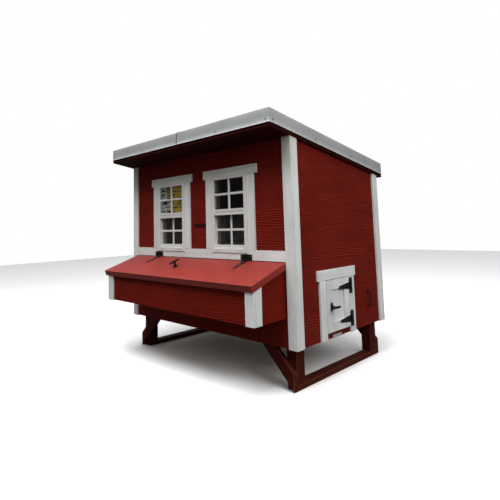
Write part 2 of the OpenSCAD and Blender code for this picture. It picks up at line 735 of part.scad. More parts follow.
// inner is how deep the turn bar lies below the surface, length its length, at its angle from +Y
module tee_handle(inner, length, at = 0) color(black) {
    foot = plate_t + fit;                 // the stem's skirt turns just above the plate
    rotate_extrude() polygon([[0, -inner - turn_t], [shaft_r, -inner - turn_t], [shaft_r, foot],
                              [14, foot], [13, 7], [8, 15], [6.5, 26], [6, tee_h - 3], [0, tee_h - 3]]);
    translate([0, 0, tee_h]) rotate([0, 90, 0]) cylinder(r = knob_r, h = tee_l - 2 * knob_r, center = true);
    for (s = [-1, 1]) translate([s * (tee_l / 2 - knob_r), 0, tee_h]) sphere(r = knob_r);
    rotate([0, 0, at]) block([-turn_w, -turn_w, -inner - turn_t], [turn_w, length, -inner]);
}
door_inner = trim_t + siding_t + stud_d + 4;      // the turn bar passes behind the stud
lid_inner = siding_t + 24;
lid_turn_l = keeper_x1 - handle_x - 10;           // it turns in under the keeper
module door_handle_plate() at_door_handle() handle_plate();
module lid_handle_plate() at_lid_handle() handle_plate();
module access_handle_plate() at_access_handle() handle_plate();
module door_tee_handle() at_door_handle() tee_handle(door_inner, turn_l);
module lid_tee_handle() at_lid_handle() tee_handle(lid_inner, lid_turn_l, 90);
module access_tee_handle() at_access_handle() tee_handle(door_inner, turn_l);

// ---- small hardware ----
pull_y = yb - 241;   // place of the pull handle on the right siding
pull_z = 508;
pull_h = 132;        // distance between its feet
module pull_handle() {
    r = 5;              // radius of the bar
    bend = 25;          // radius of its bends
    out = 34;           // how far it stands out
    color(black) translate([xr, pull_y, pull_z]) {
        translate([out - r, 0, 0]) cylinder(r = r, h = pull_h - 2 * bend, center = true);
        for (s = [0, 1]) mirror([0, 0, s]) {
            translate([out - r - bend, 0, pull_h / 2 - bend]) rotate([90, 0, 0])
                rotate_extrude(angle = 90) translate([bend, 0]) circle(r = r);
            translate([0, 0, pull_h / 2]) rotate([0, 90, 0]) {
                cylinder(r = r, h = out - r - bend);
                cylinder(r = 11, h = 3);   // foot
            }
        }
    }
}
// A bent metal strip under the chicken door, for the hooks of a ramp
module ramp_lip() {
    t = 2;
    out = 14;
    z0 = wall_z0 + 3;
    z1 = z0 + 19;
    y0 = yf + door_y0 + door_w / 2 - 78;
    color("lightgray") along_y(y0, y0 + 119,
        [[xr, z0], [xr + out, z0], [xr + out, z0 + t], [xr + t, z0 + t], [xr + t, z1], [xr, z1]]);
}
hook_x1 = win_x[0] - window_w / 2 - casing_w - 14;   // pivot of the hook
hook_z = 1165;
hook_l = 140;                // length of its bar
hook_t = 4;                  // thickness
hook_half = 7;               // half width
hook_off = 6;                // how far it lies off the siding
pivot_r = 3;
module wall_hook()
    color(black) translate([hook_x1, yf - hook_off, hook_z]) rotate([90, 0, 0]) difference() {
        union() {
            cylinder(r = 9, h = hook_t);
            block([-hook_l, -hook_half, 0], [0, hook_half, hook_t]);
            block([-hook_l, -hook_half, hook_t], [5 - hook_l, hook_half, 16]);
        }
        translate([0, 0, -past]) cylinder(r = pivot_r + pin_gap, h = hook_t + 2 * past);
    }
// The pivot, with the washers that space the hook, and the peg that it rests on
module hook_fixings()
    color(black) {
        translate([hook_x1, yf, hook_z]) rotate([90, 0, 0]) {
            cylinder(r = pivot_r, h = 12.5);
            cylinder(r = 7, h = hook_off - 0.3);
            translate([0, 0, hook_off + hook_t + fit]) cylinder(r = 6, h = 2.5);
        }
        translate([hook_x1 - hook_l * 0.8, yf, hook_z - hook_half - pivot_r - fit]) rotate([90, 0, 0]) {
            cylinder(r = pivot_r, h = 14);
            translate([0, 0, 12]) cylinder(r = 5, h = 2);
        }
    }

// ---- roof ----
rafter_n = 6;
roof_x0 = xl - over_l;
roof_x1 = xr + over_r;
roof_y0 = yf - over_f;
roof_y1 = yb + over_b;
fascia_y0 = roof_y0 + metal_t;
fascia_y1 = roof_y1 - metal_t;
module rafters()
    color(raw) for (i = [0 : rafter_n - 1]) {
        x = frame_x0 + i * (frame_x1 - frame_x0 - stud_w) / (rafter_n - 1);
        roof_slab(x, x + stud_w, fascia_y0 + board_t, fascia_y1 - board_t, rafter_drop, soffit_drop);
    }
module roof_deck()
    color(raw) roof_slab(xl, xr, fascia_y0 + board_t, fascia_y1 - board_t, deck_drop, rafter_drop);
module fascia_boards()
    color(red) {
        for (y = [fascia_y0, fascia_y1 - board_t])
            roof_slab(roof_x0 + metal_t, roof_x1 - metal_t, y, y + board_t, deck_drop, roof_drop);
        roof_slab(xr, roof_x1 - metal_t, fascia_y0 + board_t, fascia_y1 - board_t, deck_drop, roof_drop);
        roof_slab(roof_x0 + metal_t, xl, fascia_y0 + board_t, fascia_y1 - board_t, deck_drop, roof_drop);
    }
module soffits()
    color(red) {
        roof_slab(xl, xr, fascia_y0 + board_t, yf, soffit_drop + seat, roof_drop);
        roof_slab(xl, xr, yb, fascia_y1 - board_t, soffit_drop + seat, roof_drop);
    }
// The ribbed sheet, drawn square to the slope
rib_base = 32;
rib_top = 12;
rib_n = floor((roof_x1 - roof_x0 - 2 * rib_pitch / 2 - rib_base) / rib_pitch) + 1;
rib_x0 = (roof_x0 + roof_x1) / 2 - (rib_n - 1) * rib_pitch / 2;
module roof_sheet() {
    inset = metal_t + 1;
    run = (roof_y1 - roof_y0 - 2 * inset) / cos(roof_pitch) - 2 * sheet_drop * tan(roof_pitch) - 2;
    ribs = [for (i = [0 : rib_n - 1]) for (p = [[-rib_base / 2, 0], [-rib_top / 2, rib_h],
            [rib_top / 2, rib_h], [rib_base / 2, 0]]) [rib_x0 + i * rib_pitch + p[0], p[1]]];
    edge0 = roof_x0 + inset;
    edge1 = roof_x1 - inset;
    color(steel) translate([0, roof_y0 + inset, roof_top(roof_y0 + inset)]) rotate([-roof_pitch, 0, 0])
        translate([0, sheet_drop * tan(roof_pitch) + 1, -sheet_drop])
        rotate([90, 0, 0]) translate([0, 0, -run]) linear_extrude(run)
        polygon(concat([[edge0, -metal_t], [edge0, 0]], [for (p = ribs) [p[0], p[1]]],
                       [[edge1, 0], [edge1, -metal_t]]));
}
// Outline of an edge strip in its own plane: outer face at 0, roof to +X
function strip(flange, h) = [[0, 0], [0, -h + lip], [-lip, -h], [-lip + 1.5 * metal_t, -h],
    [metal_t, -h + lip + 0.5 * metal_t], [metal_t, -metal_t], [flange, -metal_t], [flange, 0]];
seam_x = roof_x1 - 1008;   // joint between the two lengths of the front strip
strip_end = metal_t + 0.2; // the side strips stop short of the front and back ones
flange_in = strip_flange + 0.5;
module strip_piece_y(x0, x1, y, side) {
    t = tan(roof_pitch) * side;
    along_x(x0, x1, [for (p = strip(strip_flange, edge_h))
        [y + side * p[0], roof_top(y) + p[1] - (p[1] >= -metal_t - 0.001 && p[0] > metal_t ? t * p[0] : 0)]]);
}
module edge_strip_front() color(steel) {
    strip_piece_y(roof_x0 - lip, seam_x, roof_y0, 1);
    strip_piece_y(seam_x, roof_x1 + lip, roof_y0, 1);
}
module side_strip(x, side) {
    run = (roof_y1 - roof_y0) / cos(roof_pitch);
    intersection() {
        translate([0, roof_y0, roof_top(roof_y0)]) rotate([-roof_pitch, 0, 0]) translate([0, -40, 0])
            rotate([90, 0, 0]) translate([0, 0, -run - 80]) linear_extrude(run + 80)
            polygon([for (p = strip(strip_flange, edge_h * cos(roof_pitch))) [x - side * p[0], p[1]]]);
        block([roof_x0 - 20, roof_y0 + strip_end, 0], [roof_x1 + 20, roof_y1 - strip_end, roof_z + 50]);
    }
}
module edge_strip_sides() color(steel) {
    difference() {
        union() { side_strip(roof_x1, 1); side_strip(roof_x0, -1); }
        roof_slab(roof_x0 - 20, roof_x1 + 20, roof_y0 - 10, roof_y0 + flange_in, -5, metal_t + 0.05);
        roof_slab(roof_x0 - 20, roof_x1 + 20, roof_y1 - flange_in, roof_y1 + 10, -5, metal_t + 0.05);
    }
    strip_piece_y(roof_x0 - lip, roof_x1 + lip, roof_y1, -1);
}
screw_drop = 76;     // below the roof's edge
screw_end = 36;      // from a corner
screw_step = 517;    // between screws, from the corner on
side_n = round((roof_y1 - roof_y0) / screw_step);
side_step = (roof_y1 - roof_y0 - screw_end - 50) / side_n;
front_x = concat([for (d = [screw_end : screw_step : roof_x1 - seam_x - screw_end]) roof_x1 - d],
                 [for (d = [screw_end : screw_step : seam_x - roof_x0 - screw_end]) roof_x0 + d]);
module screw() {
    cylinder(r = 5, h = 1.2);
    cylinder(r = 3.6, h = 4.5, $fn = 6);
}
module edge_screws() color("slategray") {
    for (x = front_x) {
        translate([x, roof_y0, roof_z - screw_drop]) rotate([90, 0, 0]) screw();
        translate([x, roof_y1, roof_top(roof_y1) - screw_drop]) rotate([-90, 0, 0]) screw();
    }
    for (i = [0 : side_n]) {
        y = roof_y0 + screw_end + i * side_step;
        translate([roof_x1, y, roof_top(y) - screw_drop]) rotate([0, 90, 0]) screw();
        translate([roof_x0, y, roof_top(y) - screw_drop]) rotate([0, -90, 0]) screw();
    }
}

// ---- roosts ----
roost_y = [yb - 456, yb - 206];
roost_z = 880;             // underside of the roosts
cleat_y0 = min(roost_y[0] - 30, yf + door_y0 + door_w + 2);
module roost_bars()
    color(raw) {
        for (y = roost_y)
            block([frame_x0 + stud_d, y, roost_z], [frame_x1 - stud_d, y + stud_w, roost_z + plank_w]);
        for (x = [frame_x0 + stud_d, frame_x1 - stud_d - board_t])
            block([x, cleat_y0, roost_z - stud_w], [x + board_t, side_y1, roost_z]);
    }

skids();
posts_left();
posts_right();
braces_left();
braces_right();
floor_frame();
floor_panel();
studs_front();
studs_back();
studs_sides();
siding_front();
siding_back();
siding_left();
siding_right();
corner_boards_front();
corner_boards_back();
band_board();
window_casing_left();
window_casing_right();
window_frame_left();
window_frame_right();
fixed_panes();
sash_left();
sash_right();
sash_pane_left();
sash_pane_right();
insect_screens();
chicken_door();
door_casings();
hinge_leaves();
hinge_pins();
door_straps();
lid_straps();
access_straps();
door_handle_plate();
lid_handle_plate();
access_handle_plate();
door_tee_handle();
lid_tee_handle();
access_tee_handle();
pull_handle();
ramp_lip();
wall_hook();
hook_fixings();
nest_front();
nest_ends();
nest_floor();
nest_dividers();
nest_corner_boards();
nest_lid();
rafters();
roof_deck();
fascia_boards();
soffits();
roof_sheet();
edge_strip_front();
edge_strip_sides();
edge_screws();
roost_bars();
access_door();
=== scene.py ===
# %% [markdown]
# # A raised chicken coop
# This lesson dresses a finished joinery model: the frame, the doors and the hinges come from the
# CAD model, which must stay where it is. Painted boards are built again, board by board, because
# a real board has eased edges and joints that catch the light, and sawn CAD blocks have neither.
# Everything is in metres, Z up, with the front of the coop facing -Y.

# %% Load the frame
import math
import random

import bmesh
import bpy
from mathutils import Matrix, Vector


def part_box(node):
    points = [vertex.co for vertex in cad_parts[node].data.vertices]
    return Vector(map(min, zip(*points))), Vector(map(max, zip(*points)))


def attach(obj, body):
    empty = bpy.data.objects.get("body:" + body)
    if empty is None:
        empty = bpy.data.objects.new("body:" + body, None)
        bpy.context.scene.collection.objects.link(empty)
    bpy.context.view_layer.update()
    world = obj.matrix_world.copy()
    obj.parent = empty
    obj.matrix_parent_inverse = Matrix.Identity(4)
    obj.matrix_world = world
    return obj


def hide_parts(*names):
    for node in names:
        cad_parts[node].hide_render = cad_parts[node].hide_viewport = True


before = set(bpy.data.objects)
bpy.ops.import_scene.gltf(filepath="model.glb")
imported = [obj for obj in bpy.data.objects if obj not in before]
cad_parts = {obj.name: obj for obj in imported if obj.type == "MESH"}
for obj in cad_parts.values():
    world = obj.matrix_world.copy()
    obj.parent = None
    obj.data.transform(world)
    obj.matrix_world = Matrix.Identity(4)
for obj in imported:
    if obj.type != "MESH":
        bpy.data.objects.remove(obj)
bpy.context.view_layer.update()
random.seed(7)

# %% Sizes of the boards, as the timber yard sells them
POST = 0.089        # side of a square leg post
TRIM = 0.016        # thickness of the white boards
CORNER = 0.080      # width of a corner board
CASING = 0.076      # width of the boards round windows and doors
STILE = 0.075       # width of the members of a framed door
EASED = 0.0022      # bevel on the edges of a planed board
ROOF_SLOPE = math.tan(math.radians(9.5))
LID_ANGLE = math.radians(18.6)
print("trim boards are", TRIM * 1000, "mm thick")

# %% [markdown]
# ## Finding single pieces in a CAD node
# Several boards or screws may share one CAD node. To find each of them, the node's mesh is copied,
# its doubled corners are welded, and the connected groups of corners are measured. Each group is one
# solid. This is safer than typing positions, because it follows the model when a size changes.


# %% Boxes of the separate solids in a node
def solids(node):
    """(lowest, highest) corner of each separate solid in a CAD node."""
    bm = bmesh.new()
    bm.from_mesh(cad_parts[node].data)
    bmesh.ops.remove_doubles(bm, verts=bm.verts, dist=1e-5)
    left = set(bm.verts)
    found = []
    while left:
        group = [left.pop()]
        lo, hi = group[0].co.copy(), group[0].co.copy()
        while group:
            vert = group.pop()
            lo = Vector(map(min, lo, vert.co))
            hi = Vector(map(max, hi, vert.co))
            near = {e.other_vert(vert) for e in vert.link_edges} & left
            left -= near
            group += near
        found.append((lo, hi))
    bm.free()
    return sorted(found, key=lambda b: tuple(round(v, 4) for v in b[0]))


print("edge screws:", len(solids("edge_screws")), "hinge pins:", len(solids("hinge_pins")))

# %% [markdown]
# ## Making boards
# A board is an outline pushed along its length. Its edges are then eased with a small bevel, as a
# hand plane or the factory would. Two things are written on the mesh for the paint to read: "grain"
# holds the board's own coordinates, with its length along X and a random start, so that no two
# boards show the same figure, and "arris" is 1 on the eased edges, where paint wears first.


# %% Grain coordinates
ASKEW = Vector((0.31, 0.17, 0.93))    # lies along no board, so it can give every board its sides


def write_grain(bm, verts, along, start):
    """Stores the coordinates of verts measured along and across a board."""
    layer = bm.verts.layers.float_vector["grain"]
    along = Vector(along).normalized()
    side = along.cross(ASKEW).normalized()
    up = along.cross(side)
    for vert in verts:
        vert[layer] = Vector((vert.co @ along, vert.co @ side, vert.co @ up)) + start


# %% A new, empty set of boards
def new_boards():
    bm = bmesh.new()
    bm.verts.layers.float_vector.new("grain")
    bm.faces.layers.float.new("arris")
    return bm


# %% One board from an outline
def add_board(bm, outline, push, along=None, eased=EASED, cuts=()):
    """Adds an outline pushed along push; cuts are (point, normal) planes that trim it."""
    board = new_boards()
    face = board.faces.new([board.verts.new(p) for p in outline])
    made = bmesh.ops.extrude_face_region(board, geom=[face])["geom"]
    moved = [g for g in made if isinstance(g, bmesh.types.BMVert)]
    bmesh.ops.translate(board, verts=moved, vec=Vector(push))
    bmesh.ops.recalc_face_normals(board, faces=board.faces[:])
    for point, normal in cuts:
        done = bmesh.ops.bisect_plane(board, geom=[*board.verts, *board.edges, *board.faces],
                                      plane_co=point, plane_no=normal, clear_outer=True)
        rim = [g for g in done["geom_cut"] if isinstance(g, bmesh.types.BMEdge)]
        bmesh.ops.contextual_create(board, geom=rim)
    if eased:
        worn = bmesh.ops.bevel(board, geom=board.edges[:], offset=eased, segments=2, affect="EDGES",
                               profile=0.5, clamp_overlap=True)["faces"]
        arris = board.faces.layers.float["arris"]
        for face in worn:
            face[arris] = 1.0
    start = Vector([random.uniform(-40, 40) for _ in range(3)])
    write_grain(board, board.verts, along or push, start)
    bmesh.ops.recalc_face_normals(board, faces=board.faces[:])
    held = bpy.data.meshes.new("board")
    board.to_mesh(held)
    board.free()
    bm.from_mesh(held)
    bpy.data.meshes.remove(held)


# %% A square-cut board between two corners
def add_block(bm, lo, hi, along=None, eased=EASED, cuts=()):
    """Adds a board filling the box from lo to hi; its grain follows its longest side."""
    lo, hi = Vector(lo), Vector(hi)
    size = hi - lo
    axis = max(range(3), key=lambda i: size[i])
    u, v = [i for i in range(3) if i != axis]
    outline = []
    for a, b in ((0, 0), (1, 0), (1, 1), (0, 1)):
        corner = lo.copy()
        corner[u] += a * size[u]
        corner[v] += b * size[v]
        outline.append(corner)
    push = Vector((0, 0, 0))
    push[axis] = size[axis]
    add_board(bm, outline, push, along, eased, cuts)


# %% Turning a set of boards into a piece
def piece(bm, name, body, material, stands_for=()):
    """Makes an object of bm that rides on a body and stands for the named CAD nodes."""
    mesh = bpy.data.meshes.new(name)
    bm.to_mesh(mesh)
    bm.free()
    obj = bpy.data.objects.new(name, mesh)
    bpy.context.scene.collection.objects.link(obj)
    mesh.materials.append(material)
    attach(obj, body)
    if stands_for:
        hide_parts(*stands_for)
    print(name, "has", len(mesh.polygons), "faces")
    return obj


# %% [markdown]
# ## Mixing paint
# Every finish below is a small recipe of nodes. A short helper adds a node and joins its inputs, so
# that each recipe reads as a list of what the finish has: a base colour, the figure of the wood under
# it, dirt or wear, and a bump that lifts the figure. The colour of bare paint is only the start.


# %% Helpers that add nodes
def new_recipe(name):
    """A material with an empty Principled shader. Returns the material, its nodes and the shader."""
    mat = bpy.data.materials.new(name)
    mat.use_nodes = True
    print("mixing", name)
    return mat, mat.node_tree, mat.node_tree.nodes["Principled BSDF"]


def join(tree, node, inputs):
    """Gives a node its inputs: a socket is linked, and a plain value is set."""
    for key, value in inputs.items():
        if isinstance(value, bpy.types.NodeSocket):
            tree.links.new(value, node.inputs[key])
        else:
            node.inputs[key].default_value = value


def put(tree, kind, inputs=None, **settings):
    """Adds a shader node with its settings and inputs."""
    made = tree.nodes.new("ShaderNode" + kind)
    for key, value in settings.items():
        setattr(made, key, value)
    join(tree, made, inputs or {})
    return made


# %% Helpers for colours and numbers
def mixed(tree, share, first, second):
    """A colour between two others; share 0 is the first and 1 the second."""
    return put(tree, "Mix", {0: share, 6: first, 7: second}, data_type="RGBA").outputs[2]


def levels(tree, value, low, high, to_low=0.0, to_high=1.0):
    """Stretches the part of value between low and high to a new range."""
    made = put(tree, "MapRange", {"Value": value, "From Min": low, "From Max": high,
                                  "To Min": to_low, "To Max": to_high})
    return made.outputs[0]


def times(tree, first, second):
    return put(tree, "Math", {0: first, 1: second}, operation="MULTIPLY").outputs[0]


def plus(tree, first, second):
    return put(tree, "Math", {0: first, 1: second}, operation="ADD").outputs[0]


# %% Helpers for patterns and bumps
def noise(tree, vector, scale, detail=4.0, roughness=0.55, distortion=0.0):
    """Fractal noise, from 0 to 1."""
    made = put(tree, "TexNoise", {"Vector": vector, "Scale": scale, "Detail": detail,
                                  "Roughness": roughness, "Distortion": distortion})
    return made.outputs["Fac"]


def stretched(tree, vector, stretch):
    """The same coordinates, drawn out or squeezed along each axis."""
    return put(tree, "Mapping", {"Vector": vector, "Scale": stretch}).outputs[0]


def lift(tree, shader, height, distance):
    """Bumps the surface by height times distance, in metres."""
    made = put(tree, "Bump", {"Height": height, "Distance": distance, "Strength": 1.0})
    tree.links.new(made.outputs[0], shader.inputs["Normal"])


# %% Helpers that say where a point is
def place(tree):
    """Coordinates in metres on pieces without a board's own grain."""
    return put(tree, "TexCoord").outputs["Object"]


def written(tree, name, output="Fac"):
    """A value that was written on the mesh."""
    return put(tree, "Attribute", attribute_name=name).outputs[output]


def height_of(tree, vector):
    """The Z part of the coordinates."""
    return put(tree, "SeparateXYZ", {0: vector}).outputs["Z"]


# %% [markdown]
# ## Barn-red embossed siding
# The walls are pressed wood panels with a cedar grain rolled into them: long ripples that run level
# and arch here and there. A banded wave gives the ripples, noise bends them into arches, and a slow
# noise makes them deep in one place and faint in the next. The noise is drawn out along X and Y more
# than along Z, so one recipe gives all four walls a grain that runs level.

# %% Siding paint
RIPPLES = 390.0     # radians of the wave in a metre of height
ARCHES = 54.0       # radians that the slow noise bends it by
WOBBLE = 12.0       # radians that the quick noise bends it by
# Painted shade: the colour that the grooves of the grain are darkened towards.
GROOVE_SHADE_RED = (0.030, 0.0020, 0.0010, 1)
DRY_MUD = (0.16, 0.09, 0.06, 1)


def siding_paint(name, red, dark, relief, shading=0.5):
    """Relief is the depth of the grain in metres; shading is how much painted shade darkens its
    grooves.
    """
    mat, tree, shader = new_recipe(name)
    spot = place(tree)
    arches = noise(tree, stretched(tree, spot, (1.0, 1.0, 3.1)), 1.0, 2.0, 0.4)
    wobble = noise(tree, stretched(tree, spot, (7.0, 7.0, 24.0)), 1.0, 4.0, 0.6)
    phase = times(tree, height_of(tree, spot), RIPPLES)
    phase = plus(tree, phase, times(tree, arches, ARCHES))
    phase = plus(tree, phase, times(tree, wobble, WOBBLE))
    wave = put(tree, "Math", {0: phase}, operation="SINE").outputs[0]
    hair = noise(tree, stretched(tree, spot, (6.0, 6.0, 130.0)), 2.0, 6.0, 0.7)
    depth = noise(tree, stretched(tree, spot, (1.1, 1.1, 5.0)), 1.9, 3.0)
    raised = times(tree, levels(tree, wave, -0.9, 1.0), levels(tree, depth, 0.42, 0.60, 0.18, 1.0))
    height = plus(tree, raised, times(tree, hair, 0.7))
    cloud = noise(tree, spot, 1.7, 5.0, 0.6)
    paint = mixed(tree, levels(tree, cloud, 0.3, 0.7), red, dark)
    # Painted shade: the paint is darkened in the grooves of the grain, as much as shading says.
    paint = mixed(tree, levels(tree, height, 0.25, 0.75, shading, 0.0), paint, GROOVE_SHADE_RED)
    splash = levels(tree, height_of(tree, spot), 0.28, 0.50, 0.04, 0.0)
    paint = mixed(tree, times(tree, splash, noise(tree, spot, 9.0, 5.0)), paint, DRY_MUD)
    join(tree, shader, {"Base Color": paint, "Roughness": levels(tree, cloud, 0.2, 0.8, 0.62, 0.76),
                        "Specular IOR Level": 0.06})
    lift(tree, shader, height, relief)
    return mat


barn_red = siding_paint("barn_red_siding", (0.190, 0.0128, 0.0072, 1), (0.140, 0.0088, 0.0044, 1),
                        0.0040)
# Painted shade: a near-black copy of the siding red for the fascia and soffits, which lie in shade
# under the eaves.
eaves_painted_shade = siding_paint("barn_red_eaves_painted_shade", (0.024, 0.0018, 0.0011, 1), (0.018, 0.0013, 0.0008, 1),
                         0.0010)
nest_red = siding_paint("barn_red_nest", (0.160, 0.0098, 0.0036, 1), (0.120, 0.0070, 0.0025, 1),
                        0.0024, shading=0.30)

# %% [markdown]
# ## Paint on boards
# Trim boards, legs and doors are separate boards, so their paint follows the board's own grain. One
# recipe serves them all: fine fibres drawn out along the board, a slow change of shade, wear on the
# eased edges where the wood or an old coat shows through, soil near the ground, and a green film of
# algae where rain keeps the top of a white board damp.

# %% Board paint
SOIL = (0.16, 0.12, 0.085, 1)
ALGAE = (0.36, 0.42, 0.22, 1)


def board_paint(name, colour, shade, worn, wear, relief, sheen=0.2, algae=0.0, rough=(0.42, 0.58),
                soil=0.35):
    """Worn is the colour of rubbed edges; wear, soil and algae are the most that each one covers."""
    mat, tree, shader = new_recipe(name)
    grain = written(tree, "grain", "Vector")
    spot = place(tree)
    fibre = noise(tree, stretched(tree, grain, (5.0, 90.0, 90.0)), 3.0, 6.0, 0.65, 0.4)
    figure = noise(tree, stretched(tree, grain, (1.4, 22.0, 22.0)), 1.6, 4.0, 0.6, 1.2)
    cloud = noise(tree, grain, 2.3, 4.0)
    paint = mixed(tree, levels(tree, cloud, 0.3, 0.7), colour, shade)
    paint = mixed(tree, levels(tree, figure, 0.40, 0.62, 0.6, 0.0), paint, shade)
    patchy = levels(tree, noise(tree, spot, 38.0, 5.0, 0.7), 0.46, 0.62, wear / 3, wear)
    paint = mixed(tree, times(tree, written(tree, "arris"), patchy), paint, worn)
    foot = levels(tree, height_of(tree, spot), 0.02, 0.36, soil, 0.0)
    paint = mixed(tree, times(tree, foot, noise(tree, spot, 14.0, 5.0, 0.7)), paint, SOIL)
    if algae:
        damp = levels(tree, height_of(tree, spot), 1.35, 1.75, 0.0, algae)
        film = noise(tree, stretched(tree, spot, (1.0, 1.0, 0.3)), 22.0, 5.0)
        paint = mixed(tree, times(tree, damp, film), paint, ALGAE)
    join(tree, shader, {"Base Color": paint, "Roughness": levels(tree, fibre, 0.25, 0.75, *rough),
                        "Specular IOR Level": sheen})
    lift(tree, shader, plus(tree, times(tree, fibre, 0.6), figure), relief)
    return mat


trim_white = board_paint("trim_white", (0.785, 0.795, 0.782, 1), (0.550, 0.566, 0.552, 1),
                         (0.16, 0.15, 0.13, 1), wear=0.60, relief=0.0026, algae=0.55)
leg_stain = board_paint("leg_stain", (0.092, 0.0100, 0.0056, 1), (0.048, 0.0046, 0.0028, 1),
                        (0.22, 0.08, 0.05, 1), wear=0.45, relief=0.0015, sheen=0.04, soil=0.12)
door_red = board_paint("door_red", (0.160, 0.0125, 0.0080, 1), (0.110, 0.0080, 0.0045, 1),
                       (0.30, 0.12, 0.08, 1), wear=0.35, relief=0.0009, sheen=0.08)
lid_red = board_paint("lid_red", (0.235, 0.0200, 0.0140, 1), (0.195, 0.0150, 0.0100, 1),
                      (0.36, 0.16, 0.11, 1), wear=0.30, relief=0.0005, rough=(0.42, 0.54), sheen=0.30)

# %% [markdown]
# ## Bare pine and sheathing
# Inside, the frame is bare softwood: warm bands of early and late wood, seen through the windows and
# whenever a door stands open. The floor and the roof deck are pressed-strand board, whose flakes lie
# every way, so cell noise gives each flake its own tone.


# %% Pine
def pine(name, along):
    """Bare timber whose grain runs along one axis of the coop."""
    mat, tree, shader = new_recipe(name)
    spot = place(tree)
    drawn = stretched(tree, spot, [0.35 if axis == along else 1.0 for axis in "XYZ"])
    fine = stretched(tree, spot, [4.0 if axis == along else 70.0 for axis in "XYZ"])
    rings = put(tree, "TexWave", {"Vector": drawn, "Scale": 26.0, "Distortion": 5.0, "Detail": 3.0,
                                  "Detail Scale": 1.1},
                wave_type="BANDS", bands_direction="DIAGONAL").outputs["Fac"]
    fibre = noise(tree, fine, 3.0, 6.0)
    wood = mixed(tree, levels(tree, rings, 0.2, 0.9), (0.62, 0.42, 0.22, 1), (0.46, 0.27, 0.12, 1))
    wood = mixed(tree, levels(tree, fibre, 0.35, 0.7, 0.0, 0.35), wood, (0.36, 0.21, 0.10, 1))
    join(tree, shader, {"Base Color": wood, "Roughness": levels(tree, fibre, 0.3, 0.7, 0.6, 0.78)})
    lift(tree, shader, fibre, 0.0006)
    return mat


pine_upright = pine("pine_upright", "Z")
pine_across = pine("pine_across", "X")
pine_deep = pine("pine_deep", "Y")


# %% Pressed-strand sheathing
def strand_board(name):
    mat, tree, shader = new_recipe(name)
    spot = place(tree)
    flakes = put(tree, "TexVoronoi", {"Vector": stretched(tree, spot, (22.0, 48.0, 60.0)), "Scale": 1.0,
                                      "Randomness": 1.0})
    tone = put(tree, "SeparateXYZ", {0: flakes.outputs["Color"]}).outputs["X"]
    glue = levels(tree, noise(tree, spot, 60.0, 4.0), 0.4, 0.7, 0.0, 0.3)
    wood = mixed(tree, tone, (0.50, 0.33, 0.16, 1), (0.66, 0.49, 0.28, 1))
    wood = mixed(tree, glue, wood, (0.30, 0.18, 0.08, 1))
    join(tree, shader, {"Base Color": wood, "Roughness": levels(tree, tone, 0.0, 1.0, 0.55, 0.75)})
    lift(tree, shader, tone, 0.0007)
    return mat


strands = strand_board("strand_board")

# %% [markdown]
# ## Metal, glass and plastic
# The roof metal is coated steel: never quite one grey, with faint streaks where water runs, and a
# painted shadow beside the lap of two lengths. The hinges are black powder coat, which is a fine orange
# peel. The window frames are white plastic, and their upward faces carry painted shade. For glass, a
# thin pane is mostly clear with a sharp reflection, so transmission is set on the shader.


# %% Roof metal
def roof_metal_paint(name, light, dark):
    mat, tree, shader = new_recipe(name)
    spot = place(tree)
    cloud = noise(tree, spot, 5.0, 6.0, 0.6)
    streak = noise(tree, stretched(tree, spot, (28.0, 28.0, 2.0)), 1.0, 4.0)
    speck = noise(tree, spot, 260.0, 2.0)
    tone = mixed(tree, levels(tree, cloud, 0.3, 0.7), light, dark)
    tone = mixed(tree, levels(tree, streak, 0.5, 0.75, 0.0, 0.35), tone, dark)
    tone = mixed(tree, levels(tree, speck, 0.6, 0.8, 0.0, 0.25), tone, (0.16, 0.16, 0.15, 1))
    # Painted shadow: faces marked on the mesh beside the lap of the front strip are darkened nearly to
    # black.
    tone = mixed(tree, written(tree, "lap_shadow"), tone, (0.045, 0.045, 0.042, 1))
    join(tree, shader, {"Base Color": tone, "Roughness": levels(tree, cloud, 0.2, 0.8, 0.38, 0.55),
                        "Metallic": 0.35})
    lift(tree, shader, speck, 0.00015)
    return mat


roof_metal = roof_metal_paint("roof_metal", (0.44, 0.455, 0.455, 1), (0.35, 0.36, 0.36, 1))
screen_frame_grey = roof_metal_paint("screen_frame_grey", (0.40, 0.40, 0.40, 1), (0.33, 0.33, 0.33, 1))


# %% Powder coat
def powder_coat(name):
    mat, tree, shader = new_recipe(name)
    spot = place(tree)
    dust = noise(tree, spot, 45.0, 5.0)
    tone = mixed(tree, levels(tree, dust, 0.45, 0.75, 0.0, 0.5), (0.003, 0.003, 0.0032, 1),
                 (0.012, 0.0115, 0.011, 1))
    join(tree, shader, {"Base Color": tone, "Roughness": levels(tree, dust, 0.3, 0.7, 0.36, 0.55),
                        "Specular IOR Level": 0.16})
    lift(tree, shader, noise(tree, spot, 900.0, 2.0), 0.0002)
    return mat


black_iron = powder_coat("black_powder_coat")


# %% Window plastic
def window_plastic(name):
    mat, tree, shader = new_recipe(name)
    spot = place(tree)
    grime = noise(tree, spot, 16.0, 6.0, 0.65)
    # Painted shade: faces that look up are darkened, so that the overhead light leaves the ledges less
    # bright.
    upward_painted_shade = height_of(tree, put(tree, "NewGeometry").outputs["Normal"])
    tone = mixed(tree, levels(tree, grime, 0.45, 0.75, 0.0, 0.5), (0.62, 0.625, 0.615, 1),
                 (0.52, 0.52, 0.50, 1))
    tone = mixed(tree, levels(tree, upward_painted_shade, 0.3, 0.9, 0.0, 0.75), tone, (0.34, 0.34, 0.31, 1))
    join(tree, shader, {"Base Color": tone, "Roughness": levels(tree, grime, 0.3, 0.7, 0.28, 0.42)})
    lift(tree, shader, noise(tree, spot, 120.0, 2.0), 0.0002)
    return mat


window_white = window_plastic("window_white")


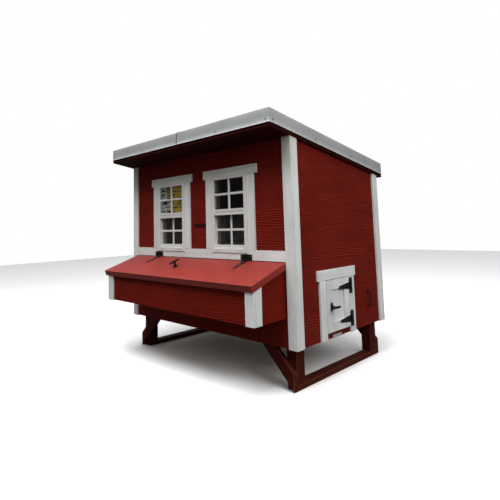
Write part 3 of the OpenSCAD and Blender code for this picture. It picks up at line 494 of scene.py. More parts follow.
# %% Glass
def pane_glass(name):
    mat, tree, shader = new_recipe(name)
    smear = noise(tree, stretched(tree, place(tree), (1.0, 1.0, 0.4)), 14.0, 4.0)
    tone = mixed(tree, levels(tree, smear, 0.4, 0.8, 0.0, 0.4), (0.84, 0.87, 0.86, 1),
                 (0.74, 0.77, 0.76, 1))
    join(tree, shader, {"Base Color": tone, "Roughness": 0.03, "IOR": 1.45, "Transmission Weight": 1.0})
    return mat


glass = pane_glass("window_glass")


# %% Insect mesh
def mesh_wire(name):
    mat, tree, shader = new_recipe(name)
    tarnish = noise(tree, place(tree), 70.0, 3.0)
    tone = mixed(tree, tarnish, (0.16, 0.16, 0.16, 1), (0.26, 0.26, 0.255, 1))
    join(tree, shader, {"Base Color": tone, "Roughness": 0.6})
    return mat


wire_grey = mesh_wire("insect_mesh_grey")


# %% Screw metal
def screw_metal(name):
    mat, tree, shader = new_recipe(name)
    dull = noise(tree, place(tree), 300.0, 3.0)
    tone = mixed(tree, levels(tree, dull, 0.3, 0.7), (0.15, 0.15, 0.145, 1), (0.07, 0.068, 0.064, 1))
    join(tree, shader, {"Base Color": tone, "Roughness": levels(tree, dull, 0.3, 0.7, 0.35, 0.55),
                        "Metallic": 0.6})
    return mat


screw_zinc = screw_metal("screw_zinc")


# %% Printed card
def card_print(name):
    """Straw-coloured board with white panels and dark blocks, by the ink of each patch."""
    mat, tree, shader = new_recipe(name)
    ink = written(tree, "ink")
    fade = noise(tree, place(tree), 30.0, 4.0)
    tone = mixed(tree, fade, (0.78, 0.56, 0.045, 1), (0.66, 0.47, 0.035, 1))
    tone = mixed(tree, levels(tree, ink, 0.2, 0.3), tone, (0.80, 0.80, 0.76, 1))
    tone = mixed(tree, levels(tree, ink, 0.7, 0.8), tone, (0.030, 0.028, 0.035, 1))
    join(tree, shader, {"Base Color": tone, "Roughness": levels(tree, fade, 0.3, 0.7, 0.5, 0.62)})
    lift(tree, shader, fade, 0.0002)
    return mat


printed_card = card_print("printed_card")

# %% [markdown]
# ## Dressing the CAD nodes that keep their shape
# Large flat sheets, framing timber and hardware already have the right shape. They only get a
# finish, which is set on the object's own slots so that the CAD mesh is left alone.


# %% Dress a node
def dress(material, *nodes):
    for node in nodes:
        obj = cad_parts[node]
        if not obj.material_slots:
            obj.data.materials.append(None)
        for slot in obj.material_slots:
            slot.link = "OBJECT"
            slot.material = material


dress(barn_red, "siding_front", "siding_back", "siding_left", "siding_right")
dress(nest_red, "nest_front", "nest_ends")
# The fascia and soffits take the near-black copy of the siding red, which is painted shade.
dress(eaves_painted_shade, "fascia_boards", "soffits")
dress(pine_upright, "studs_front", "studs_back", "studs_sides")
dress(pine_across, "roost_bars", "floor_frame")
dress(pine_deep, "rafters")
dress(strands, "floor_panel", "roof_deck", "nest_floor", "nest_dividers")
dress(roof_metal, "roof_sheet", "ramp_lip")
dress(black_iron, "hinge_leaves", "hinge_pins", "door_straps", "lid_straps", "access_straps",
      "door_handle_plate", "lid_handle_plate", "access_handle_plate", "door_tee_handle",
      "lid_tee_handle", "access_tee_handle", "pull_handle", "wall_hook", "hook_fixings")
dress(glass, "fixed_panes", "sash_pane_left", "sash_pane_right")
print("dressed the kept CAD nodes")

# %% [markdown]
# ## The legs
# Each end of the coop stands on a skid, two posts and two braces. They are sawn construction timber,
# so their edges are rounded more than a planed trim board's. A brace is cut plumb at the foot and
# level at the top, which an outline in X and Z gives directly.

# %% Skids, posts and braces
SAWN = 0.004        # rounding of a sawn timber's edges
for side in ("left", "right"):
    legs = new_boards()
    for lo, hi in solids("posts_" + side):
        add_block(legs, lo, hi, eased=SAWN)
    piece(legs, side + "_posts", "house", leg_stain, ["posts_" + side])

    legs = new_boards()
    for lo, hi in solids("braces_" + side):
        foot, reach = (hi.x, -1) if side == "right" else (lo.x, 1)
        plumb = POST * math.sqrt(2)
        outline = [(foot, lo.y, lo.z), (foot, lo.y, plumb),
                   (foot + reach * (hi.z - plumb), lo.y, hi.z), (foot + reach * hi.z, lo.y, hi.z)]
        add_board(legs, outline, (0, hi.y - lo.y, 0), along=(reach, 0, 1), eased=SAWN)
    piece(legs, side + "_braces", "house", leg_stain, ["braces_" + side])

legs = new_boards()
for lo, hi in solids("skids"):
    add_block(legs, lo, hi, eased=SAWN)
piece(legs, "ground_skids", "house", leg_stain, ["skids"])

# %% [markdown]
# ## White corner boards and bands
# A corner is two boards: the front one covers the end of the side one, so a joint shows on the side.
# Their tops are cut to the slope of the roof. The board under the windows runs between the corners.

# %% Corner boards
def corner_ends(lo, hi):
    """At each end of a box, where the face board and then the edge board start and end in X."""
    return ((lo.x, lo.x + CORNER, lo.x, lo.x + TRIM), (hi.x - CORNER, hi.x, hi.x - TRIM, hi.x))


for node, front in (("corner_boards_front", True), ("corner_boards_back", False)):
    boards = new_boards()
    lo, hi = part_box(node)
    slope_cut = [((0, lo.y, hi.z), (0, ROOF_SLOPE, 1))]
    face_y = (lo.y, lo.y + TRIM) if front else (hi.y - TRIM, hi.y)
    edge_y = (lo.y + TRIM, hi.y) if front else (lo.y, hi.y - TRIM)
    for x0, x1, out0, out1 in corner_ends(lo, hi):
        add_block(boards, (x0, face_y[0], lo.z), (x1, face_y[1], hi.z), cuts=slope_cut)
        add_block(boards, (out0, edge_y[0], lo.z), (out1, edge_y[1], hi.z), cuts=slope_cut)
    name = node.replace("corner_boards", "white_corners")
    piece(boards, name, "house", trim_white, [node])

# %% Band board
boards = new_boards()
add_block(boards, *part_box("band_board"))
piece(boards, "white_band", "house", trim_white, ["band_board"])

# %% Window casings
HEAD_OVER = 0.032                 # how far the head passes the side boards
HEAD_HIGH = CASING - 0.003
for side in ("left", "right"):
    boards = new_boards()
    lo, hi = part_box("window_casing_" + side)
    head = hi.z - HEAD_HIGH
    add_block(boards, (lo.x, lo.y, head), hi)
    add_block(boards, (lo.x + HEAD_OVER, lo.y, lo.z), (lo.x + HEAD_OVER + CASING, hi.y, head))
    add_block(boards, (hi.x - HEAD_OVER - CASING, lo.y, lo.z), (hi.x - HEAD_OVER, hi.y, head))
    piece(boards, side + "_window_casing", "house", trim_white, ["window_casing_" + side])

# %% Casings of the two doors
DOOR_GAP = 0.0025
CASING_OVER = 0.024


def add_casing(bm, out, wall, start, end, foot, top):
    """Frames an opening from start to end, on a wall that looks along axis number out."""
    over = CASING + CASING_OVER
    for a0, a1, z0, z1 in ((start - CASING, start, foot, top), (end, end + CASING, foot, top),
                           (start - over, end + over, top, top + CASING)):
        low, high = Vector((wall, wall, z0)), Vector((wall + TRIM, wall + TRIM, z1))
        low[1 - out], high[1 - out] = a0, a1
        add_block(bm, low, high)


boards = new_boards()
lo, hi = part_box("chicken_door")
wall_lo, wall_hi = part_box("siding_right")
add_casing(boards, 0, wall_hi.x, lo.y - DOOR_GAP, hi.y + DOOR_GAP, wall_lo.z, hi.z + DOOR_GAP)
lo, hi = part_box("access_door")
foot = lo.z - DOOR_GAP - CASING / 2
wall_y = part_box("siding_back")[1].y
add_casing(boards, 1, wall_y, lo.x - DOOR_GAP, hi.x + DOOR_GAP, foot, hi.z + DOOR_GAP)
piece(boards, "white_door_casings", "house", trim_white, ["door_casings"])

# %% Corners of the nest box
boards = new_boards()
lo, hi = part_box("nest_corner_boards")
lid_cut = [((0, hi.y, hi.z), (0, -math.sin(LID_ANGLE), math.cos(LID_ANGLE)))]
for x0, x1, out0, out1 in corner_ends(lo, hi):
    add_block(boards, (x0, lo.y, lo.z), (x1, lo.y + TRIM, hi.z), along=(0, 0, 1), cuts=lid_cut)
    add_block(boards, (out0, lo.y + TRIM, lo.z), (out1, hi.y, hi.z), along=(0, 0, 1), cuts=lid_cut)
piece(boards, "nest_white_corners", "house", trim_white, ["nest_corner_boards"])

# %% [markdown]
# ## Frame-and-panel doors
# A door is two full-height stiles, two rails between them and a thin panel set back behind. Building
# the five boards apart gives the hairline joints and the shadow round the panel that one carved block
# would miss. The small door opens sideways on the +X wall and the clean-out door on the +Y wall.


# %% A framed door
PANEL_BACK = 0.012      # how far the panel lies behind the frame


def framed_door(name, node, out, material):
    """Builds a door whose outer face looks along axis number out (0 is X, 1 is Y)."""
    boards = new_boards()
    lo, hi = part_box(node)
    across = 1 - out
    panel_face = hi[out] - PANEL_BACK

    def part(a0, a1, z0, z1, deep0, deep1, along):
        low, high = Vector((0, 0, z0)), Vector((0, 0, z1))
        low[across], high[across] = a0, a1
        low[out], high[out] = deep0, deep1
        add_block(boards, low, high, along=along)

    level = Vector((0, 0, 0))
    level[across] = 1.0
    part(lo[across], hi[across], lo.z, hi.z, lo[out], panel_face, (0, 0, 1))
    part(lo[across], lo[across] + STILE, lo.z, hi.z, panel_face, hi[out], (0, 0, 1))
    part(hi[across] - STILE, hi[across], lo.z, hi.z, panel_face, hi[out], (0, 0, 1))
    part(lo[across] + STILE, hi[across] - STILE, lo.z, lo.z + STILE, panel_face, hi[out], level)
    part(lo[across] + STILE, hi[across] - STILE, hi.z - STILE, hi.z, panel_face, hi[out], level)
    return piece(boards, name, node, material, [node])


framed_door("small_door", "chicken_door", 0, trim_white)
framed_door("clean_out_door", "access_door", 1, door_red)

# %% [markdown]
# ## The nest lid
# The lid is a sheet on a rim of battens, and it slopes so that rain runs off. It is drawn in its own
# slope: a point is given by how far it lies down the slope and how deep below the top. Its back edge
# is cut plumb, so that it clears the wall as it swings up.

# %% The lid's own slope
LID_EASED = 0.0025
lid_lo, lid_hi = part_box("nest_lid")
lid_run = (lid_hi.y - lid_lo.y) / math.cos(LID_ANGLE)
slope_way = (0, -math.cos(LID_ANGLE), -math.sin(LID_ANGLE))
print("the lid is", round(lid_run, 4), "m long down its slope")


def lid_point(x, down, deep):
    """A point of the lid, down its slope from the back edge and deep below its top."""
    return Vector((x, lid_hi.y - down * math.cos(LID_ANGLE) + deep * math.sin(LID_ANGLE),
                   lid_hi.z - down * math.sin(LID_ANGLE) - deep * math.cos(LID_ANGLE)))


def lid_board(bm, x0, x1, down0, down1, deep0, deep1, along):
    outline = [lid_point(x0, down0, deep0), lid_point(x0, down1, deep0),
               lid_point(x0, down1, deep1), lid_point(x0, down0, deep1)]
    add_board(bm, outline, (x1 - x0, 0, 0), along=along, eased=LID_EASED,
              cuts=[((0, lid_hi.y, 0), (0, 1, 0))])


# %% Lid boards
SHEET = 0.011           # thickness of the top
LID_DEEP = 0.049        # from the top's face to the underside of the battens
FRONT_BATTEN = 0.051
BACK_BATTEN = 0.019
END_BATTEN = 0.055      # measured from the end of the top
SET_IN = 0.001          # from the edge of the top to the battens
BEYOND = 0.02           # boards start past the back edge, and the plumb cut takes this off
start, end = lid_lo.x + SET_IN, lid_hi.x - SET_IN
foot = lid_run - SET_IN
head = foot - FRONT_BATTEN
inner = (lid_lo.x + END_BATTEN, lid_hi.x - END_BATTEN)
boards = new_boards()
lid_board(boards, lid_lo.x, lid_hi.x, -BEYOND, lid_run, 0.0, SHEET, (1, 0, 0))
lid_board(boards, start, end, head, foot, SHEET, LID_DEEP, (1, 0, 0))
lid_board(boards, *inner, -BEYOND, BACK_BATTEN, SHEET, LID_DEEP, (1, 0, 0))
lid_board(boards, start, inner[0], -BEYOND, head, SHEET, LID_DEEP, slope_way)
lid_board(boards, inner[1], end, -BEYOND, head, SHEET, LID_DEEP, slope_way)
piece(boards, "sloping_lid", "nest_lid", lid_red, ["nest_lid"])

# %% [markdown]
# ## Windows
# Each window is a white plastic frame whose flange stands proud of the casing. Plastic frames are made
# from drawn lengths, so each member here is a profile pushed along its length: a groove on the flange,
# an inner corner that is eased, and a track behind. The upper light is fixed, and the lower one is a
# sash that slides up behind it. Water drains through two slots in the sill.


# %% A length of window profile
def add_profile(bm, points, place_point, push):
    """Adds a drawn length: place_point turns each (inward, deep) pair into a point of one end."""
    add_board(bm, [place_point(*p) for p in points], push, eased=0)


# %% The profiles, as (inward, deep) pairs from the outer front edge
JAMB = [(0, 0.005), (0, 0.001), (0.001, 0), (0.0185, 0), (0.0195, 0.0018), (0.0215, 0.0018),
        (0.0225, 0), (0.031, 0), (0.034, 0.003), (0.034, 0.026), (0.023, 0.026), (0.023, 0.055),
        (0.012, 0.055), (0.012, 0.005)]
HEAD = [(0, 0.005), (0, 0.001), (0.001, 0), (0.014, 0), (0.017, 0.003), (0.017, 0.026),
        (0.006, 0.026), (0.006, 0.055), (0, 0.055)]
SILL = [(0, 0.005), (0, 0.001), (0.001, 0), (0.030, 0), (0.033, 0.002), (0.040, 0.003),
        (0.046, 0.026), (0.046, 0.055), (0.027, 0.055), (0.027, 0.005)]
BAR = [(-0.010, 0.008), (-0.010, 0.004), (-0.006, 0), (0.006, 0), (0.010, 0.004), (0.010, 0.008)]
HALF_BAR = BAR[-1][0]
print("a jamb is", max(JAMB)[0] * 1000, "mm wide")


# %% Glazing bars
def add_bars(bm, lo, hi, front):
    """A cross of glazing bars that splits the opening from lo to hi into four lights."""
    mid_x, mid_z = (lo.x + hi.x) / 2, (lo.z + hi.z) / 2
    add_profile(bm, BAR, lambda a, d: Vector((mid_x + a, front + d, lo.z)), (0, 0, hi.z - lo.z))
    for start, end in ((lo.x, mid_x - HALF_BAR), (mid_x + HALF_BAR, hi.x)):
        add_profile(bm, BAR, lambda a, d: Vector((start, front + d, mid_z + a)), (end - start, 0, 0))


# %% Drain slots
SLOT_LONG, SLOT_HIGH, SLOT_DEEP = 0.050, 0.0045, 0.003
SLOT_IN, SLOT_UP = 0.020, 0.014       # from the jamb and from the foot of the frame
NEAR = 0.03                           # only faces this close above a slot are cut


def add_weep_slot(bm, x0, z0, face):
    """Presses a drain slot into the front of the sill."""
    x1, z1 = x0 + SLOT_LONG, z0 + SLOT_HIGH
    for point, normal in (((x0, 0, 0), (1, 0, 0)), ((x1, 0, 0), (1, 0, 0)),
                          ((0, 0, z0), (0, 0, 1)), ((0, 0, z1), (0, 0, 1))):
        near = [f for f in bm.faces if abs(f.calc_center_median().y - face) < 1e-4
                and f.calc_center_median().z < z0 + NEAR]
        geom = {v for f in near for v in f.verts} | {e for f in near for e in f.edges} | set(near)
        bmesh.ops.bisect_plane(bm, geom=list(geom), plane_co=point, plane_no=normal)
    for found in [f for f in bm.faces if abs(f.calc_center_median().y - face) < 1e-4]:
        middle = found.calc_center_median()
        if x0 < middle.x < x1 and z0 < middle.z < z1:
            pushed = bmesh.ops.extrude_discrete_faces(bm, faces=[found])["faces"]
            bmesh.ops.translate(bm, verts=pushed[0].verts, vec=(0, SLOT_DEEP, 0))


# %% Fixed frames with their upper lights
RAIL_DEEP = 0.024         # the rail where the two lights meet
RAIL_STEP = 0.019         # height of the step at its top
RAIL_GROOVE = 0.005       # height of the groove under the step
STEP_BACK, GROOVE_BACK, BARS_BACK = 0.004, 0.011, 0.009     # how far these lie behind the flange
PLASTIC_EASED = 0.001
upper_panes = solids("fixed_panes")
for side, pane in zip(("left", "right"), upper_panes):
    frame_lo, frame_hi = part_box("window_frame_" + side)
    sash_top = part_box("sash_" + side)[1].z
    rail_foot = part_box("sash_pane_" + side)[1].z
    face = frame_lo.y
    boards = new_boards()
    full = (0, 0, frame_hi.z - frame_lo.z)
    across = (pane[1].x - pane[0].x, 0, 0)
    add_profile(boards, JAMB, lambda a, d: Vector((frame_lo.x + a, face + d, frame_lo.z)), full)
    add_profile(boards, JAMB, lambda a, d: Vector((frame_hi.x - a, face + d, frame_lo.z)), full)
    add_profile(boards, HEAD, lambda a, d: Vector((pane[0].x, face + d, frame_hi.z - a)), across)
    add_profile(boards, SILL, lambda a, d: Vector((pane[0].x, face + d, frame_lo.z + a)), across)
    for x0 in (pane[0].x + SLOT_IN, pane[1].x - SLOT_IN - SLOT_LONG):
        add_weep_slot(boards, x0, frame_lo.z + SLOT_UP, face)
    step = sash_top - RAIL_STEP
    groove = step - RAIL_GROOVE
    for z0, z1, set_back, eased in ((step, sash_top, STEP_BACK, PLASTIC_EASED),
                                    (groove, step, GROOVE_BACK, 0),
                                    (rail_foot, groove, 0, PLASTIC_EASED)):
        low, high = (pane[0].x, face + set_back, z0), (pane[1].x, face + RAIL_DEEP, z1)
        add_block(boards, low, high, eased=eased)
    add_bars(boards, pane[0], pane[1], face + BARS_BACK)
    name = side + "_window_frame"
    piece(boards, name, "house", window_white, ["window_frame_" + side])

# %% Sliding sashes
SASH_EASED = 0.0012
for side in ("left", "right"):
    lo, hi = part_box("sash_" + side)
    pane_lo, pane_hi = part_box("sash_pane_" + side)
    boards = new_boards()
    for x0, x1, z0, z1 in ((lo.x, pane_lo.x, lo.z, hi.z), (pane_hi.x, hi.x, lo.z, hi.z),
                           (pane_lo.x, pane_hi.x, lo.z, pane_lo.z),
                           (pane_lo.x, pane_hi.x, pane_hi.z, hi.z)):
        add_block(boards, (x0, lo.y, z0), (x1, hi.y, z1), eased=SASH_EASED)
    add_bars(boards, pane_lo, pane_hi, lo.y + 0.001)
    name = side + "_sliding_sash"
    piece(boards, name, side + "_sash", window_white, ["sash_" + side])

# %% [markdown]
# ## A plain card in the left window
# A notice on straw-coloured board stands behind the upper glass, and bows a little. Its print is only
# plain blocks. It could carry a picture, but a grid of faces needs none: "ink" says which colour each
# small patch of it has.

# %% The card's sheet
COLUMNS, ROWS = 33, 24
CARD_T = 0.0006
CARD_LEFT, CARD_RIGHT, CARD_ENDS = 0.012, 0.004, 0.003      # margins inside the pane
CARD_BEHIND, BOW = 0.0015, 0.0018
pane_lo, pane_hi = upper_panes[0]
card_wide = pane_hi.x - pane_lo.x - CARD_LEFT - CARD_RIGHT
card_high = pane_hi.z - pane_lo.z - 2 * CARD_ENDS
card = bmesh.new()
grid = []
for j in range(ROWS + 1):
    z = pane_lo.z + CARD_ENDS + card_high * j / ROWS
    row = []
    for i in range(COLUMNS + 1):
        share = i / COLUMNS
        y = pane_hi.y + CARD_BEHIND + BOW * math.sin(math.pi * share)
        row.append(card.verts.new((pane_lo.x + CARD_LEFT + card_wide * share, y, z)))
    grid.append(row)
print("the card is", round(card_wide, 3), "by", round(card_high, 3), "m")

# %% The card's print
ink = card.faces.layers.float.new("ink")
for j in range(ROWS):
    word = 0
    for i in range(COLUMNS):
        face = card.faces.new((grid[j][i], grid[j][i + 1], grid[j + 1][i + 1], grid[j + 1][i]))
        if word <= 0:
            word = random.choice((2, 3, 3, 4, 5))
            dark = random.random() < 0.45
        word -= 1
        panel = i < 8 or (j < 11 and 10 <= i < 17)
        line = j % 3 == 1 or (panel and j % 4 < 2)
        face[ink] = 1.0 if line and dark else 0.5 if panel else 0.0
sheet = piece(card, "window_card", "house", printed_card)
sheet.modifiers.new("board", "SOLIDIFY").thickness = CARD_T

# %% [markdown]
# ## Insect screens
# Behind each window is a screen: thin wires, woven close, in a flat metal frame. A picture of a mesh
# would shimmer, so the wires are modelled, at a wider pitch than real ones, as flat strips that cross.

# %% Screen frames and wires
WIRE = 0.00035
PITCH = 0.0018
SCREEN_EDGE = 0.012
SCREEN_EASED = 0.0008
WIRES_IN = 0.003        # from the front of the frame
CROSSED = 0.0003        # the level wires lie this far behind the upright ones


def add_wire(bm, x0, x1, z0, z1, y):
    """Adds one flat wire that fills a box in X and Z."""
    bm.faces.new([bm.verts.new((x, y, z)) for x, z in ((x0, z0), (x1, z0), (x1, z1), (x0, z1))])


boards = new_boards()
wires = bmesh.new()
for lo, hi in solids("insect_screens"):
    left, right = lo.x + SCREEN_EDGE, hi.x - SCREEN_EDGE
    foot, head = lo.z + SCREEN_EDGE, hi.z - SCREEN_EDGE
    for x0, x1, z0, z1 in ((lo.x, left, lo.z, hi.z), (right, hi.x, lo.z, hi.z),
                           (left, right, lo.z, foot), (left, right, head, hi.z)):
        add_block(boards, (x0, lo.y, z0), (x1, hi.y, z1), eased=SCREEN_EASED)
    x = left
    while x < right:
        add_wire(wires, x, x + WIRE, foot, head, lo.y + WIRES_IN)
        x += PITCH
    z = foot
    while z < head:
        add_wire(wires, left, right, z, z + WIRE, lo.y + WIRES_IN + CROSSED)
        z += PITCH
piece(boards, "screen_frames", "house", screen_frame_grey, ["insect_screens"])
piece(wires, "screen_wires", "house", wire_grey)

# %% [markdown]
# ## Folded metal round the roof
# The edge of the roof is sheet 1.2 mm thick, folded over the top and down the face, with a small kick
# at the bottom that throws water clear. It is built as folded sheet really is: one strip of surface
# with rounded folds, given its thickness afterwards. The corners are mitred, and the front strip is
# two lengths that lap.

# %% Sizes of the folded metal
METAL = 0.0012
KICK = 0.005            # how far the foot of the strip turns out
FLANGE = 0.075          # width on top of the roof
FOLD = 0.0028           # radius of the fold
EDGE_HIGH = 0.102       # height of the face
CLEAR = 0.005           # rows keep this far from the flange of a mitred corner
front_lo, front_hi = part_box("edge_strip_front")
sides_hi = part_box("edge_strip_sides")[1]
roof_x = (front_lo.x + KICK, front_hi.x - KICK)
roof_y = (front_lo.y + KICK, sides_hi.y - KICK)


def roof_top(y):
    return front_hi.z - (y - roof_y[0]) * ROOF_SLOPE


print("the roof is", round(roof_x[1] - roof_x[0], 3), "by", round(roof_y[1] - roof_y[0], 3), "m")


# %% The folded section
def section():
    """(inward, up) pairs from the edge of the top flange to the kick at the bottom."""
    points = [(FLANGE, 0), (FLANGE / 2, 0), (FOLD, 0)]
    for degrees in (18, 36, 54, 72):
        turn = math.radians(degrees)
        points.append((FOLD - FOLD * math.sin(turn), FOLD * math.cos(turn) - FOLD))
    points += [(0, -FOLD), (0, -0.035), (0, -0.065), (0, KICK + 0.0015 - EDGE_HIGH)]
    return points + [(-0.0012, KICK - 0.0008 - EDGE_HIGH), (-KICK, -EDGE_HIGH)]


print("the section has", len(section()), "points")

# %% How thin sheet buckles
STIFF = -0.02           # the sheet buckles only below this height, away from the fold
STAND_OFF = 0.0008
ON_TOP = -0.0001        # points above this lie on the roof and follow its slope


def buckle(along, rise, phase):
    """How far the sheet stands out at a place along a strip, and rise above the edge of the roof."""
    if rise >= STIFF:
        return 0.0
    wave = 0.0005 * math.sin(11.0 * along + phase) + 0.0003 * math.sin(29.0 * along + 2.0 * phase)
    return wave + STAND_OFF


# %% Rows of a strip along the front or the back
STEPS = 40
PROUD, PROUD_LESS = 0.0034, 0.0008      # how a lapped end rises, and how it settles at each stop


def front_rows(x0, x1, y, way, lap=0.0, slant=0.0, extra=()):
    """Rows of a strip along X; way is 1 on the front and -1 on the back.

    Ends on a corner of the roof are mitred. Lap is how far a lapped end settles, slant is how far its
    foot leans, and extra names more places for a row.
    """
    rows = []
    stops = sorted([x0 + (x1 - x0) * i / STEPS for i in range(STEPS + 1)] + list(extra))
    inner = [s for s in stops if x0 + FLANGE + CLEAR < s < x1 - FLANGE - CLEAR]
    for i, s in enumerate([x0, x0 + lap / 2, x0 + lap, *inner, x1]):
        proud = PROUD - PROUD_LESS * i if lap and i < 3 else 0.0
        row = []
        for inward, rise in section():
            x = s
            if abs(s - roof_x[0]) < 1e-6:
                x = s + inward
            elif abs(s - roof_x[1]) < 1e-6:
                x = s - inward
            elif slant and i == 0:
                x = s + slant * rise / EDGE_HIGH
            out = proud + buckle(s, rise, y)
            up = roof_top(y + way * inward if rise > ON_TOP else y) + rise
            row.append((x, y + way * (inward - out), up + (proud if rise > -FOLD else 0.0)))
        rows.append(row)
    return rows


# %% Rows of a strip along the slope
SLOPE_STEPS = 36


def side_rows(x, way):
    """Rows of a strip along the slope; way is 1 on the +X side. Both ends are mitred."""
    rows = []
    first, last = roof_y
    stops = [first + (last - first) * i / SLOPE_STEPS for i in range(SLOPE_STEPS + 1)]
    inner = [s for s in stops if first + FLANGE + CLEAR < s < last - FLANGE - CLEAR]
    for s in [first, *inner, last]:
        row = []
        for inward, rise in section():
            y = s + inward if s == first else s - inward if s == last else s
            up = roof_top(y if rise > ON_TOP else s) + rise
            row.append((x - way * (inward - buckle(s, rise, x)), y, up))
        rows.append(row)
    return rows


# %% Skinning and thickening
def add_sheet(bm, rows):
    """Skins a strip of sheet through rows of points."""
    grid = [[bm.verts.new(p) for p in row] for row in rows]
    for one, two in zip(grid, grid[1:]):
        for k in range(len(one) - 1):
            bm.faces.new((one[k], one[k + 1], two[k + 1], two[k]))


def edge_metal(bm, name, node):
    """Makes a piece of folded sheet and thickens it towards the roof."""
    bmesh.ops.recalc_face_normals(bm, faces=bm.faces)
    obj = piece(bm, name, "house", roof_metal, [node])
    solid = obj.modifiers.new("thickness", "SOLIDIFY")
    solid.thickness = METAL
    solid.offset = -1.0
    solid.use_even_offset = True
    for polygon in obj.data.polygons:
        polygon.use_smooth = True
    obj.modifiers.new("crisp_ends", "EDGE_SPLIT").split_angle = math.radians(35)


# %% Strips
SEAM = roof_x[1] - 1.008            # the right length of the front strip starts here
LAP = 0.022                         # and reaches this far over the left one
TUCKED = 0.004                      # the left length goes on under it, by this and a flange's width
LAP_SHADOW_SPAN = (SEAM - LAP - 0.019, SEAM - LAP + 0.003)     # a painted shadow beside the lapped end
sheet = bmesh.new()
lap_shadow = sheet.faces.layers.float.new("lap_shadow")
add_sheet(sheet, front_rows(roof_x[0], SEAM + TUCKED + FLANGE, roof_y[0], 1, extra=LAP_SHADOW_SPAN))
# Faces beside the lapped end are marked for a painted shadow, which the roof metal's paint darkens.
for face in sheet.faces:
    face[lap_shadow] = 0.85 if LAP_SHADOW_SPAN[0] < face.calc_center_median().x < LAP_SHADOW_SPAN[1] else 0.0
add_sheet(sheet, front_rows(SEAM - LAP, roof_x[1], roof_y[0], 1, lap=LAP, slant=0.008))
edge_metal(sheet, "front_edge_metal", "edge_strip_front")
sheet = bmesh.new()
add_sheet(sheet, side_rows(roof_x[1], 1))
add_sheet(sheet, side_rows(roof_x[0], -1))
add_sheet(sheet, front_rows(roof_x[0], roof_x[1], roof_y[1], -1))
edge_metal(sheet, "side_edge_metal", "edge_strip_sides")

# %% [markdown]
# ## Screws
# The metal is held by screws with a hexagon head on a round washer, and the hinges by round heads with
# a recess. They are small, but they tell the eye how large the coop is, so they are modelled.


# %% A short cone
def add_disc(bm, at, out, radius, top, deep, sides, turn=0.0):
    """A short cone standing at a point and pointing out; top is its upper radius."""
    spin = Vector(out).to_track_quat("Z", "Y").to_matrix().to_4x4() @ Matrix.Rotation(turn, 4, "Z")
    middle = Vector(at) + Vector(out) * deep / 2
    return bmesh.ops.create_cone(bm, cap_ends=True, segments=sides, radius1=radius, radius2=top,
                                 depth=deep, matrix=Matrix.Translation(middle) @ spin)["verts"]


# %% A hexagon head on its washer
WASHER, HEX_HIGH = 0.0013, 0.0026
HEX = 0.0037            # radius to the corners


def add_hex_screw(bm, at, out):
    at, out = Vector(at), Vector(out).normalized()
    add_disc(bm, at, out, 0.0056, 0.0050, WASHER, 18)
    turn = random.uniform(0, 1)
    add_disc(bm, at + out * WASHER, out, HEX, HEX, HEX_HIGH, 6, turn)
    add_disc(bm, at + out * (WASHER + HEX_HIGH), out, HEX, 0.0030, 0.0006, 6, turn)


# %% A round head with a recess
RIM_HIGH = 0.0007
HEAD_SIDES = 14


def add_round_screw(bm, at, out):
    at, out = Vector(at), Vector(out).normalized()
    add_disc(bm, at, out, 0.0043, 0.0039, RIM_HIGH, HEAD_SIDES)
    verts = add_disc(bm, at + out * RIM_HIGH, out, 0.0039, 0.0024, 0.0010, HEAD_SIDES)
    cap = max({f for v in verts for f in v.link_faces if len(f.verts) == HEAD_SIDES},
              key=lambda f: f.calc_center_median() @ out)
    bmesh.ops.inset_region(bm, faces=[cap], thickness=0.0009)
    bmesh.ops.translate(bm, verts=cap.verts, vec=-out * 0.0008)


# %% Screws in the edge metal
screws = bmesh.new()
for lo, hi in solids("edge_screws"):
    middle, size = (lo + hi) / 2, hi - lo
    axis = min(range(3), key=lambda i: size[i])
    out = Vector((0, 0, 0))
    out[axis] = 1.0 if middle[axis] > 0 else -1.0
    at = middle.copy()
    at[axis] = (lo if out[axis] > 0 else hi)[axis]
    add_hex_screw(screws, at + out * 0.0009, out)
piece(screws, "edge_metal_screws", "house", screw_zinc, ["edge_screws"])

# %% Screws in the roof sheet
RIB_PITCH = 0.229
SCREW_ROWS = 4
ROW_MARGIN = 0.12       # from the edge of the sheet to the first row
screws = bmesh.new()
lo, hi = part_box("roof_sheet")
slope_out = Vector((0, ROOF_SLOPE, 1)).normalized()
count = int((hi.x - lo.x) / RIB_PITCH)
for row in range(SCREW_ROWS):
    y = lo.y + ROW_MARGIN + row * (hi.y - lo.y - 2 * ROW_MARGIN) / (SCREW_ROWS - 1)
    for k in range(count):
        x = (lo.x + hi.x) / 2 + (k - (count - 1) / 2) * RIB_PITCH
        hit, at, _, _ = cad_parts["roof_sheet"].ray_cast((x, y, hi.z + 0.1), (0, 0, -1))
        if hit:
            add_hex_screw(screws, at, slope_out)
piece(screws, "roof_sheet_screws", "house", screw_zinc)

# %% Screws in the hinges
LEAF_WIDE, LEAF_HIGH = 0.042, 0.122
LEAF_AT = [(0.62 * LEAF_WIDE, s * 0.38 * LEAF_HIGH) for s in (-1, 1)]
STRAP_AT = [(-0.028, 0), (-0.082, 0), (-0.136, 0)]
PIN_HIGH = 0.0053       # from the surface to the middle of the pin
PLATE = 0.0025          # thickness of a leaf or a strap


def hinge_place(middle, along, out):
    """The frame of a hinge: its pin lies along Y, and Z leaves the surface that it is fixed to."""
    side = Vector(along).cross(Vector(out))
    turn = Matrix((side, Vector(along), Vector(out))).transposed().to_4x4()
    return Matrix.Translation(middle) @ turn


def add_hinge_screws(bm, matrix, spots):
    for x, y in spots:
        at = matrix @ Vector((x, y, PLATE - PIN_HIGH))
        add_round_screw(bm, at, matrix.to_3x3() @ Vector((0, 0, 1)))


